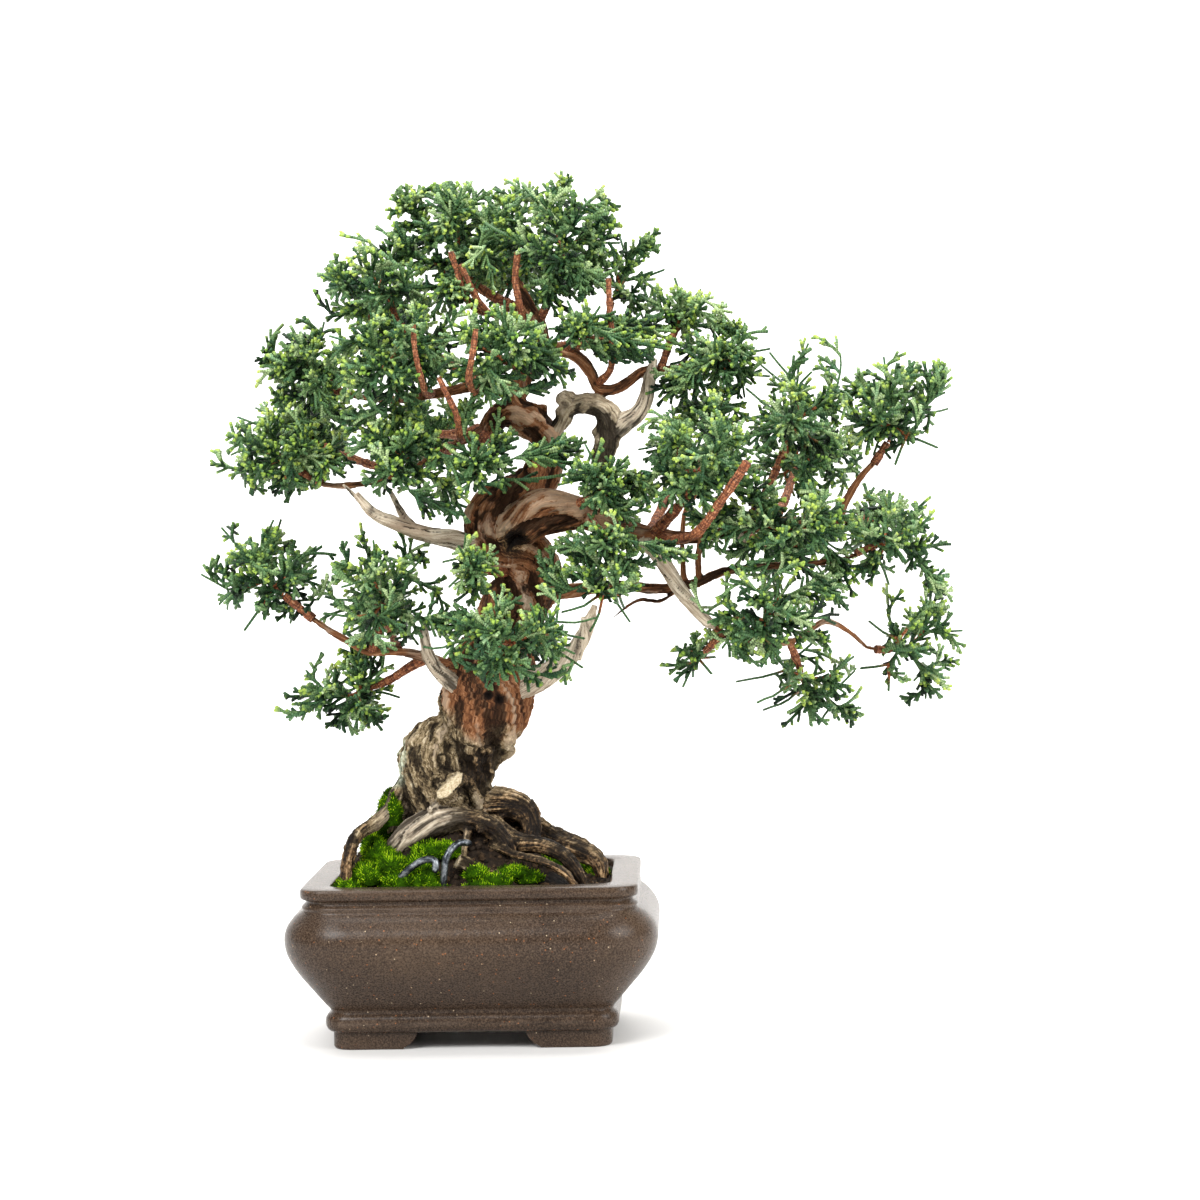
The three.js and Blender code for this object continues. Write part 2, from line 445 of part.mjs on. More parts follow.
    twig: [[-25.5, -8, 138, 1.8], [-30.5, 10, 144, 1.4], [-36, 22, 150.5, 1.3]] },
  { name: 'back_right_out', shoots: 11, centre: [150, 36, 181], half: [16, 16, 14],
    twig: [[132, 3, 181.5, 1.6], [139, 18, 182, 1.5], [145, 28, 181.5, 1.3]] },
];

// Tie wire: a short hook at its left end, down through the soil and the left hole,
// across under the floor, up through the other hole and over the roots
const TIE_WIRE = [
  [-11.5, -38.5, 62], [-11.5, -38, 66], [-15, -36.5, 66.5], [-25, -34, 59],
  [-30.5, -28, 46], [-32, -17, 20], [-31.8, -17, 6.5],
  [-30, -17, 3.9], [-24, -17, 3.9], [-22.2, -17, 6.5], [-22, -17, 20],
  [-15, -29, 42], [-9.5, -34.5, 56], [-7.5, -34.5, 67.5],
  [-3.5, -31, 71.5], [0.5, -28, 71],
];

const deepen = (route) => route.map(([x, y, z, radius]) => [x, y * CROWN_DEPTH, z, radius]);
for (const list of [DEADWOOD, BRANCHES]) list.forEach((route, i) => list.splice(i, 1, deepen(route)));
for (const spray of SPRAYS) {
  spray.twig = deepen(spray.twig);
  spray.centre[1] *= CROWN_DEPTH;
  spray.half[1] *= 1.1;
}

const wireStations = TIE_WIRE.map(([x, y, z]) => [x, y, z, WIRE_RADIUS]);
const TRUNK_LIMBS = [
  [TRUNK, { sides: 9, lobe: 0.1, twist: 0.035 }],
  [LEFT_LOBE, { sides: 7, lobe: 0.09, twist: 0.04 }],
  [CUT_STUB, { sides: 6, lobe: 0.1 }],
  ...ROOTS.map((root) => [root, { sides: 5, lobe: 0.1, twist: 0.08 }]),
  ...ROOT_STUBS.map((root) => [root, { sides: 5 }]),
];
const CROWN_LIMBS = [
  [UPPER_TRUNK, { sides: 6, lobe: 0.1, twist: 0.06 }],
  ...DEADWOOD.map((jin) => [jin, { sides: 5, lobe: 0.12, twist: 0.05 }]),
  ...BRANCHES.map((branch) => [branch, { sides: 5, lobe: 0.08, twist: 0.08 }]),
  ...SPRAYS.map((spray) => [spray.twig, { sides: 4 }]),
];

// Height of the soil surface
function soilHeight(x, y) {
  const reach = Math.min(1, Math.hypot((x + 7) / 46, (y - 1) / 36));
  const mound = SOIL_MOUND * Math.pow(1 - reach, 0.8);
  return SOIL_EDGE + mound + 0.5 * Math.sin(x * 0.45) * Math.cos(y * 0.5) * (1 - reach);
}

// Soil: fills the pot, mounded up under the root crown, with plain holes for what stands in it
function makeSoil() {
  const mouth = MOUTH_HALF_X - MOUTH_HALF_Y;
  const rings = [];
  for (const [z, half, radius] of [...INNER_PROFILE].reverse()) {
    const height = z === FLOOR_TOP ? FLOOR_TOP + 0.3 : Math.min(z, 51);
    if (z > SOIL_EDGE) continue;
    rings.push(roundedRing(half - GAP, half - mouth - GAP, radius - GAP, height));
  }
  for (const part of [1, 0.9, 0.75, 0.55, 0.3]) {
    const ring = roundedRing(
      (MOUTH_HALF_X - GAP) * part, (MOUTH_HALF_Y - GAP) * part, 7 * part, 0);
    for (const point of ring) point.z = soilHeight(point.x, point.y);
    rings.push(ring);
  }
  const grown = joinAll(TRUNK_LIMBS.map(([route, look]) => limb(route, { ...look, grow: GAP })));
  const wire = limb(wireStations, { sides: 6, grow: GAP });
  let soil = solid(loft(rings)).subtract(grown).subtract(wire);
  for (const side of [-1, 1]) soil = soil.subtract(screenRoom(side * DRAIN_OFFSET));
  return mainBody(soil);
}

// Repeatable random numbers from 0 to 1
function randomSource(seed) {
  let state = seed;
  return () => {
    state = (state * 1664525 + 1013904223) % 4294967296;
    return state / 4294967296;
  };
}

// Shortest distance between two line segments
function segmentDistance(p1, q1, p2, q2) {
  const d1 = q1.clone().sub(p1);
  const d2 = q2.clone().sub(p2);
  const r = p1.clone().sub(p2);
  const a = d1.dot(d1);
  const e = d2.dot(d2);
  const f = d2.dot(r);
  const c = d1.dot(r);
  const b = d1.dot(d2);
  const spread = a * e - b * b;
  let s = spread > 1e-9 ? THREE.MathUtils.clamp((b * f - c * e) / spread, 0, 1) : 0;
  let t = (b * s + f) / e;
  if (t < 0) {
    t = 0;
    s = THREE.MathUtils.clamp(-c / a, 0, 1);
  } else if (t > 1) {
    t = 1;
    s = THREE.MathUtils.clamp((b - c) / a, 0, 1);
  }
  return p1.clone().addScaledVector(d1, s).distanceTo(p2.clone().addScaledVector(d2, t));
}

// Everything a shoot has to stay clear of, as round-ended rods
const rods = [];
function addRods(route, owner) {
  const points = route.map(([x, y, z]) => new THREE.Vector3(x, y, z));
  const curve = new THREE.CatmullRomCurve3(points, false, 'centripetal');
  for (let i = 0; i < route.length - 1; i++) {
    for (const part of [0, 0.5]) {
      const a = curve.getPoint((i + part) / (route.length - 1));
      const b = curve.getPoint((i + part + 0.5) / (route.length - 1));
      rods.push({ a, b, radius: Math.max(route[i][3], route[i + 1][3]) * 1.1, owner });
    }
  }
}

function isClear(a, b, radius, owner) {
  for (const rod of rods) {
    if (rod.owner === owner) continue;
    if (segmentDistance(a, b, rod.a, rod.b) < radius + rod.radius + GAP) return false;
  }
  return true;
}

// Points that a spray reaches, spread evenly over its outer part
function sprayTargets(spray, order, random) {
  const targets = [];
  for (let i = 0; i < spray.shoots; i++) {
    const up = 1 - 2 * (i + 0.5) / spray.shoots;
    const around = i * GOLDEN_ANGLE + order;
    const flat = Math.sqrt(1 - up * up);
    const far = 0.97 + 0.16 * random();
    targets.push(new THREE.Vector3(
      spray.centre[0] + spray.half[0] * far * flat * Math.cos(around),
      spray.centre[1] + spray.half[1] * far * flat * Math.sin(around),
      spray.centre[2] + spray.half[2] * far * (up < 0 ? up * 0.88 : up)));
  }
  return targets;
}

// One spray as a single closed surface of forked three-sided shoots. The stem starts beside
// the twig's end, and each shoot grows out of one triangle of the shoot before it: it goes
// toward the targets that fall to it and forks there in up to three, until each target
// has its own blunt tip.
function makeSpray(spray, order) {
  const random = randomSource(101 + 37 * order);
  const owner = spray.name;
  const points = [];
  const faces = [];
  const grown = [];

  const addRing = (centre, along, radius, lead) => {
    const normal = lead.clone().sub(centre);
    normal.addScaledVector(along, -normal.dot(along)).normalize();
    const side = new THREE.Vector3().crossVectors(along, normal);
    return [0, 1, 2].map((j) => {
      const angle = 2 * Math.PI * j / 3;
      points.push(centre.clone()
        .addScaledVector(normal, radius * Math.cos(angle))
        .addScaledVector(side, radius * Math.sin(angle)));
      return points.length - 1;
    });
  };
  const middle = (face) => face.reduce(
    (sum, k) => sum.addScaledVector(points[k], 1 / 3), new THREE.Vector3());
  const outward = ([i, j, k]) => new THREE.Vector3().crossVectors(
    points[j].clone().sub(points[i]), points[k].clone().sub(points[i])).normalize();
  const skin = (lower, upper) => {
    for (let j = 0; j < 3; j++) {
      const next = (j + 1) % 3;
      faces.push([lower[j], lower[next], upper[next]], [lower[j], upper[next], upper[j]]);
    }
  };
  const roomFor = (from, tip, parent, family) => {
    if (!isClear(from, tip, SHOOT_RADIUS, owner)) return false;
    const length = from.distanceTo(tip);
    const free = from.clone().lerp(tip, Math.min(0.6, 2.2 / length));
    const way = tip.clone().sub(from).divideScalar(length);
    for (const other of grown) {
      if (other === parent) continue;
      if (other.family === family) {
        if (way.dot(other.way) > 0.84) return false;
        if (tip.distanceTo(other.tip) < 2.2) return false;
      } else if (segmentDistance(free, tip, other.from, other.tip) < 2 * SHOOT_RADIUS + 0.15) {
        return false;
      }
    }
    return true;
  };

  // Gives each target to the face that looks toward it most, and grows a shoot on each such face
  const fork = (sites, targets, parent) => {
    const shares = sites.map(() => []);
    for (const target of targets) {
      let best = 0;
      let most = -2;
      sites.forEach((face, k) => {
        const look = target.clone().sub(middle(face)).normalize().dot(outward(face));
        if (look > most) {
          most = look;
          best = k;
        }
      });
      shares[best].push(target);
    }
    const family = grown.length;
    sites.forEach((face, k) => {
      if (shares[k].length === 0) faces.push(face);
      else growShoot(face, shares[k], parent, family);
    });
  };

  const growShoot = (base, targets, parent, family) => {
    const from = middle(base);
    const normal = outward(base);
    const goal = targets.reduce(
      (sum, target) => sum.addScaledVector(target, 1 / targets.length), new THREE.Vector3());
    const distance = goal.distanceTo(from);
    const last = targets.length === 1 && distance < LONGEST_SHOOT;
    const straight = goal.sub(from).normalize();
    let tip = null;
    let way = null;
    for (const bend of [0, 0.35, 0.8, 1.6]) {
      way = straight.clone().addScaledVector(normal, bend).normalize();
      if (way.dot(normal) < 0.5) continue;
      const length = last ? distance : THREE.MathUtils.clamp(distance * 0.48, 3.6, 9);
      tip = from.clone().addScaledVector(way, length);
      if (roomFor(from, tip, parent, family)) break;
      tip = null;
    }
    if (tip === null) {
      faces.push(base);
      return;
    }
    const ring = addRing(tip, way, SHOOT_RADIUS * (last ? TIP_TAPER : 1), points[base[0]]);
    skin(base, ring);
    const shoot = { from, tip, way, family };
    grown.push(shoot);
    if (last) {
      faces.push(ring);
      return;
    }
    points.push(tip.clone().addScaledVector(way, 0.9 * SHOOT_RADIUS));
    const top = points.length - 1;
    fork([[ring[0], ring[1], top], [ring[1], ring[2], top], [ring[2], ring[0], top]], targets, shoot);
  };

  const twig = spray.twig;
  const end = new THREE.Vector3(...twig[twig.length - 1]);
  const along = end.clone().sub(new THREE.Vector3(...twig[twig.length - 2])).normalize();
  const start = end.clone().addScaledVector(along, GAP);
  const toward = new THREE.Vector3(...spray.centre).sub(start);
  const length = Math.max(5, Math.min(9, toward.length() * 0.8));
  toward.normalize().lerp(along, 0.5).normalize();
  const heart = start.clone().addScaledVector(toward, length);
  const lead = start.clone().add(new THREE.Vector3(0.3, 0.2, 1));
  const foot = addRing(start, along, STEM_RADIUS, lead);
  const waist = addRing(heart.clone().addScaledVector(toward, -2.4), toward, STEM_RADIUS, points[foot[0]]);
  const neck = addRing(heart, toward, STEM_RADIUS, points[waist[0]]);
  faces.push([foot[0], foot[2], foot[1]]);
  skin(foot, waist);
  points.push(heart.clone().addScaledVector(toward, STEM_RADIUS));
  const top = points.length - 1;
  const sites = [];
  for (let j = 0; j < 3; j++) {
    const next = (j + 1) % 3;
    faces.push([waist[j], neck[next], neck[j]]);
    sites.push([waist[j], waist[next], neck[next]], [neck[j], neck[next], top]);
  }
  const stem = { from: start, tip: heart, way: toward, family: -1 };
  grown.push(stem);
  fork(sites, sprayTargets(spray, order, random), stem);
  for (const shoot of grown) {
    rods.push({ a: shoot.from, b: shoot.tip, radius: SHOOT_RADIUS, owner });
  }
  const geometry = new THREE.BufferGeometry().setFromPoints(points);
  geometry.setIndex(faces.flat());
  return geometry;
}

const group = new THREE.Group();
function addPiece(name, body, color, roughness, metalness = 0) {
  const material = new THREE.MeshStandardMaterial({ color, roughness, metalness });
  const mesh = new THREE.Mesh(geometryOf(body), material);
  mesh.name = name;
  group.add(mesh);
}

addPiece('pot', makePot(), 0x5b4a3f, 0.5);
for (const foot of makeFeet()) {
  const { min, max } = foot.boundingBox();
  const end = min[1] + max[1] < 0 ? 'front' : 'back';
  const side = min[0] + max[0] < 0 ? 'left' : 'right';
  addPiece(`pot_foot_${end}_${side}`, foot, 0x5b4a3f, 0.5);
}
addPiece('drain_screen_left', makeScreen(-DRAIN_OFFSET), 0x1d1f1e, 0.6);
addPiece('drain_screen_right', makeScreen(DRAIN_OFFSET), 0x1d1f1e, 0.6);
addPiece('tie_wire', limb(wireStations, { sides: 6 }), 0x2e3236, 0.4, 0.6);
addPiece('soil', makeSoil(), 0x2f251c, 0.95);

const LIMBS = [...TRUNK_LIMBS, ...CROWN_LIMBS];
addPiece('tree', joinAll(LIMBS.map(([route, look]) => limb(route, look))), 0x6e4733, 0.85);
for (const [route] of LIMBS) addRods(route, 'tree');

SPRAYS.forEach((spray, order) => {
  addPiece('spray_' + spray.name, solid(makeSpray(spray, order)), 0x3f6b45, 0.6);
});

// The origin is under the middle of the whole bonsai, on the surface that it stands on
const box = new THREE.Box3().setFromObject(group);
group.position.set(-(box.min.x + box.max.x) / 2, -(box.min.y + box.max.y) / 2, -box.min.z);

export default group;
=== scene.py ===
import math
import random

import bpy
import numpy as np
from mathutils import Matrix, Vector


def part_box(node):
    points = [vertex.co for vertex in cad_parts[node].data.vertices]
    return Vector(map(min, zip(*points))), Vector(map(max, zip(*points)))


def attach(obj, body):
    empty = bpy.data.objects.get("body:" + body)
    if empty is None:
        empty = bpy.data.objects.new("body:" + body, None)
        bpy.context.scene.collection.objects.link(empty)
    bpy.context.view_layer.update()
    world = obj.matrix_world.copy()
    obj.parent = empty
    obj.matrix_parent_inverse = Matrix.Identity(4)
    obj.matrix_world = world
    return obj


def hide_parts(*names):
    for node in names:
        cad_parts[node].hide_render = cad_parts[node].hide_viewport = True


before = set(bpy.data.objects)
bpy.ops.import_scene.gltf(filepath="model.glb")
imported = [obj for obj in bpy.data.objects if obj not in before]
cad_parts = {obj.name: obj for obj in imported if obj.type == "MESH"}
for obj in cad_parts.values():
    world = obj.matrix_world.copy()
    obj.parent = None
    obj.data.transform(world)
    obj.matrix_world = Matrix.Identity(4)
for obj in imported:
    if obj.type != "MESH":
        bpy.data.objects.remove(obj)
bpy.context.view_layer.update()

MM = 0.001
pot_low, pot_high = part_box("pot")
ORIGIN = np.array([(pot_low[0] + pot_high[0]) / 2, (pot_low[1] + pot_high[1]) / 2, 0.0])
UP = np.array([0.0, 0.0, 1.0])
GOLDEN_ANGLE = 2.39996


def in_frame(points):
    return np.asarray(points) * MM + ORIGIN


# Camera: the photograph's place, direction and focal length

CAMERA_PLACE = (78.3, -1077.1, 193.2)
YAW, PITCH, ROLL = math.radians(1.69), math.radians(2.04), math.radians(1.03)
SENSOR_WIDTH, FOCAL_LENGTH = 36.0, 90.0


def stand(thing, place, right, over, back):
    """Put a camera or a lamp at a place, with the directions of its three axes"""
    turn = Matrix([[right[k], over[k], back[k]] for k in range(3)]).to_4x4()
    thing.matrix_world = Matrix.Translation(in_frame(place).tolist()) @ turn
    bpy.context.scene.collection.objects.link(thing)


def make_camera():
    level = math.cos(PITCH)
    forward = np.array([-math.sin(YAW) * level, math.cos(YAW) * level, -math.sin(PITCH)])
    right = np.array([math.cos(YAW), math.sin(YAW), 0.0])
    down = np.cross(forward, right)
    right, down = (
        math.cos(ROLL) * right + math.sin(ROLL) * down,
        math.cos(ROLL) * down - math.sin(ROLL) * right,
    )
    data = bpy.data.cameras.new("camera")
    data.sensor_width = SENSOR_WIDTH
    data.lens = FOCAL_LENGTH
    data.clip_start = 0.05
    camera = bpy.data.objects.new("camera", data)
    stand(camera, CAMERA_PLACE, right, -down, -forward)
    bpy.context.scene.camera = camera


# Repeatable smooth noise on arrays of points


def lattice(cell, seed):
    key = cell[..., 0] * 73856093 + cell[..., 1] * 19349663 + cell[..., 2] * 83492791
    key = key + seed * 2654435
    key = (key ^ (key >> 13)) * 1274126177
    key = (key ^ (key >> 16)) & 0xFFFFF
    return key / 524287.5 - 1.0


def noise(points, seed=0):
    """Smooth noise from -1 to 1, one unit from bump to bump"""
    cell = np.floor(points).astype(np.int64)
    part = points - cell
    part = part * part * (3 - 2 * part)
    total = np.zeros(len(points))
    for corner in range(8):
        offset = np.array([corner & 1, corner >> 1 & 1, corner >> 2 & 1])
        weight = np.prod(np.where(offset == 1, part, 1 - part), axis=1)
        total += weight * lattice(cell + offset, seed)
    return total


def fractal(points, seed=0, octaves=3, fade=0.55):
    total, size = 0.0, 1.0
    for k in range(octaves):
        total = total + size * noise(points * 2**k, seed + 17 * k)
        size *= fade
    return total


def ridges(points, seed=0, sharpness=3.2):
    """Sharp lines at 1 where the noise passes zero"""
    return 1 - np.minimum(1, np.abs(noise(points, seed)) * sharpness)


def plates(points, seed=0, looseness=0.42):
    """How far each point is from the edges of jagged plates, 0 on an edge"""
    cell = np.floor(points).astype(np.int64)
    first = np.full(len(points), 9.0)
    second = np.full(len(points), 9.0)
    for k in range(27):
        near = cell + np.array([k % 3 - 1, k // 3 % 3 - 1, k // 9 - 1])
        seat = np.stack([lattice(near, seed + turn) for turn in (1, 2, 3)], axis=1)
        gap = np.linalg.norm(points - (near + 0.5 + looseness * seat), axis=1)
        second = np.minimum(second, np.maximum(first, gap))
        first = np.minimum(first, gap)
    return second - first


def soft(value, low, high):
    """0 at low, 1 at high and smooth between them"""
    part = np.clip((value - low) / (high - low), 0, 1)
    return part * part * (3 - 2 * part)


def distance(points, centre):
    return np.linalg.norm(points - np.array(centre), axis=1)


def spot(points, centre, radius):
    """1 at centre, falling to 0 at radius"""
    return 1 - soft(distance(points, centre), 0.45 * radius, radius)


def spots(points, places):
    """The strongest of several spots at each point"""
    return np.maximum.reduce([spot(points, centre, radius) for centre, radius in places])


def unit(vector):
    return vector / np.maximum(np.linalg.norm(vector, axis=-1, keepdims=True), 1e-9)


# Routes and tubes

ACROSS, SIDEWAYS = np.array([0, 1.0, 0]), np.array([1.0, 0, 0])


def angles(count):
    """That many directions round a circle"""
    return 2 * np.pi * np.arange(count) / count


def travelled(points):
    """How far along its line each point is"""
    steps = np.linalg.norm(np.diff(points, axis=0), axis=1)
    return np.concatenate([[0], np.cumsum(steps)])


def bands(rows, size):
    """Faces between neighbours in a stack of rings of that size"""
    faces = []
    for i in range(rows - 1):
        low, high = i * size, (i + 1) * size
        for j in range(size):
            k = (j + 1) % size
            faces.append((low + j, low + k, high + k, high + j))
    return faces


class Route:
    """A smooth line through stations [x, y, z, radius], with a frame that doesn't twist"""

    def __init__(self, stations, step):
        knots = np.array([s[:3] for s in stations], float)
        radii = np.array([s[3] for s in stations], float)
        spans = len(knots) - 1
        padded = np.vstack([2 * knots[0] - knots[1], knots, 2 * knots[-1] - knots[-2]])
        points, widths = [], []
        for i in range(spans):
            p0, p1, p2, p3 = padded[i : i + 4]
            pairs = ((p0, p1), (p1, p2), (p2, p3))
            d0, d1, d2 = (max(np.linalg.norm(b - a), 1e-8) ** 0.5 for a, b in pairs)
            t1 = ((p1 - p0) / d0 - (p2 - p0) / (d0 + d1) + (p2 - p1) / d1) * d1
            t2 = ((p2 - p1) / d1 - (p3 - p1) / (d1 + d2) + (p3 - p2) / d2) * d1
            square = 3 * (p2 - p1) - 2 * t1 - t2
            cube = 2 * (p1 - p2) + t1 + t2
            count = max(1, int(round(np.linalg.norm(p2 - p1) / step)))
            last = i == spans - 1
            w = np.linspace(0, 1, count + 1)[: None if last else -1, None]
            points.append(p1 + t1 * w + square * w**2 + cube * w**3)
            ease = w[:, 0] ** 2 * (3 - 2 * w[:, 0])
            widths.append(radii[i] * (1 - ease) + radii[i + 1] * ease)
        self.points = np.vstack(points)
        self.radii = np.concatenate(widths)
        self.along = unit(np.gradient(self.points, axis=0))
        self.travel = travelled(self.points)
        helper = ACROSS if abs(self.along[0][1]) < 0.8 else SIDEWAYS
        normal = unit(np.cross(helper, self.along[0]))
        normals = []
        for along in self.along:
            normal = unit(normal - along * np.dot(normal, along))
            normals.append(normal)
        self.normals = np.array(normals)
        self.sides = np.cross(self.along, self.normals)


def tube(route, sides, lobe=0.0, twist=0.0, reach=None):
    """Closed tube: points, faces. Its section is lobed and twisted, or reach gives it"""
    angle = angles(sides)
    if reach is None:
        turn = angle[None, :] + twist * route.travel[:, None]
        lobes = 0.6 * np.cos(2 * turn) + 0.4 * np.cos(3 * turn + 1)
        reach = route.radii[:, None] * (1 + lobe * lobes)
    rings = (
        route.points[:, None]
        + route.normals[:, None] * (reach * np.cos(angle))[..., None]
        + route.sides[:, None] * (reach * np.sin(angle))[..., None]
    )
    count = len(rings)
    points = np.vstack([rings.reshape(-1, 3), route.points[:1], route.points[-1:]])
    faces = bands(count, sides)
    foot, last_ring = count * sides, (count - 1) * sides
    for j in range(sides):
        k = (j + 1) % sides
        faces.append((foot, k, j))
        faces.append((foot + 1, last_ring + j, last_ring + k))
    return points, faces


def joined(shapes):
    """Several (points, faces) as one"""
    points, faces, offset = [], [], 0
    for shape_points, shape_faces in shapes:
        points.append(shape_points)
        faces.extend(tuple(k + offset for k in face) for face in shape_faces)
        offset += len(shape_points)
    return np.vstack(points), faces


def read_vectors(items, key="co"):
    """A vector of each vertex of a mesh"""
    flat = np.empty(len(items) * 3)
    items.foreach_get(key, flat)
    return flat.reshape(-1, 3)


def new_object(name, points, faces):
    """An object in the scene, with its points in its own unit"""
    mesh = bpy.data.meshes.new(name)
    mesh.from_pydata(np.asarray(points).tolist(), [], faces)
    thing = bpy.data.objects.new(name, mesh)
    bpy.context.scene.collection.objects.link(thing)
    return thing


def worked_out(body, *tools):
    """Points, normals and faces that the modifiers of body give. body and its tools go"""
    graph = bpy.context.evaluated_depsgraph_get()
    fine = bpy.data.meshes.new_from_object(body.evaluated_get(graph))
    points, normals = read_vectors(fine.vertices), read_vectors(fine.vertices, "normal")
    faces = [tuple(p.vertices) for p in fine.polygons]
    meshes = [fine] + [thing.data for thing in (body, *tools)]
    for thing in (body, *tools):
        bpy.data.objects.remove(thing)
    for mesh in meshes:
        bpy.data.meshes.remove(mesh)
    return points, normals, faces


def make_piece(name, points, faces, material, slot, stands_for=(), fields=None, smooth=True):
    """A visible piece of the part, in place of the nodes that it stands for"""
    piece = new_object(name, in_frame(points), faces)
    mesh = piece.data
    for key, values in (fields or {}).items():
        values = np.asarray(values, dtype=np.float32)
        vector = values.ndim == 2
        layer = mesh.attributes.new(key, "FLOAT_VECTOR" if vector else "FLOAT", "POINT")
        layer.data.foreach_set("vector" if vector else "value", values.ravel())
    mesh.polygons.foreach_set("use_smooth", [smooth] * len(mesh.polygons))
    mesh.materials.append(material)
    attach(piece, "root")
    if stands_for:
        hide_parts(*stands_for)


def remeshed(points, faces, voxel):
    """One skin over overlapping closed tubes, with even small faces"""
    body = new_object("rough", points, faces)
    skin = body.modifiers.new("skin", "REMESH")
    skin.mode = "VOXEL"
    skin.voxel_size = voxel
    soften = body.modifiers.new("soften", "SMOOTH")
    soften.factor = 0.5
    soften.iterations = 2
    return worked_out(body)


# Materials


def rgb(code):
    parts = [int(code[k : k + 2], 16) / 255 for k in (0, 2, 4)]
    return (*[p / 12.92 if p <= 0.04045 else ((p + 0.055) / 1.055) ** 2.4 for p in parts], 1.0)


class Paint:
    """A material and short ways to add its nodes"""

    def __init__(self, name, roughness=0.8, metallic=0.0, specular=0.5):
        self.material = bpy.data.materials.new(name)
        self.material.use_nodes = True
        self.tree = self.material.node_tree
        self.shader = self.tree.nodes["Principled BSDF"]
        self.shader.inputs["Roughness"].default_value = roughness
        self.shader.inputs["Metallic"].default_value = metallic
        self.shader.inputs["Specular IOR Level"].default_value = specular

    def put(self, socket, value):
        if isinstance(value, bpy.types.NodeSocket):
            self.tree.links.new(value, socket)
        else:
            socket.default_value = value

    def node(self, kind, inputs, **settings):
        node = self.tree.nodes.new("ShaderNode" + kind)
        for key, value in settings.items():
            setattr(node, key, value)
        for key, value in inputs.items():
            self.put(node.inputs[key], value)
        return node

    def field(self, name, output="Fac"):
        """A number that make_piece kept at each point, or a vector in millimetres"""
        return self.node("Attribute", {}, attribute_name=name).outputs[output]

    def place(self):
        """The object's own place, in metres"""
        return self.node("TexCoord", {}).outputs["Object"]

    def stretched(self, vector, scale):
        return self.node("Mapping", {"Vector": vector, "Scale": scale}).outputs["Vector"]

    def noise(self, vector, scale, detail=3.0, rough=0.55, bend=0.0):
        inputs = {"Vector": vector, "Scale": scale, "Detail": detail, "Roughness": rough}
        return self.node("TexNoise", {**inputs, "Distortion": bend}).outputs["Fac"]

    def cells(self, vector, scale, output="Distance"):
        return self.node("TexVoronoi", {"Vector": vector, "Scale": scale}).outputs[output]

    def math(self, operation, a, b=0.0):
        return self.node("Math", {0: a, 1: b}, operation=operation).outputs[0]

    def times(self, a, b):
        return self.math("MULTIPLY", a, b)

    def total(self, *parts):
        """The sum of (value, weight) pairs"""
        first, *others = (self.times(value, weight) for value, weight in parts)
        for other in others:
            first = self.math("ADD", first, other)
        return first

    def span(self, value, low, high):
        """0 at low, 1 at high and smooth between them"""
        inputs = {"Value": value, "From Min": low, "From Max": high}
        node = self.node("MapRange", inputs, interpolation_type="SMOOTHSTEP")
        return node.outputs["Result"]

    def ramp(self, value, *stops):
        node = self.node("ValToRGB", {"Fac": value})
        elements = node.color_ramp.elements
        while len(elements) < len(stops):
            elements.new(0.5)
        for element, (position, code) in zip(elements, stops):
            element.position = position
            element.color = rgb(code)
        return node.outputs["Color"]

    def mix(self, part, a, b, how="MIX"):
        node = self.node("Mix", {}, data_type="RGBA", blend_type=how)
        for socket, value in ((node.inputs[0], part), (node.inputs[6], a), (node.inputs[7], b)):
            self.put(socket, rgb(value) if isinstance(value, str) else value)
        return node.outputs[2]

    def bump(self, height, distance, strength=1.0, normal=None):
        inputs = {"Height": height, "Distance": distance, "Strength": strength}
        if normal:
            inputs["Normal"] = normal
        return self.node("Bump", inputs).outputs["Normal"]

    def finish(self, colour, normal=None, roughness=None):
        self.put(self.shader.inputs["Base Color"], colour)
        if normal:
            self.put(self.shader.inputs["Normal"], normal)
        if roughness is not None:
            self.put(self.shader.inputs["Roughness"], roughness)
        return self.material


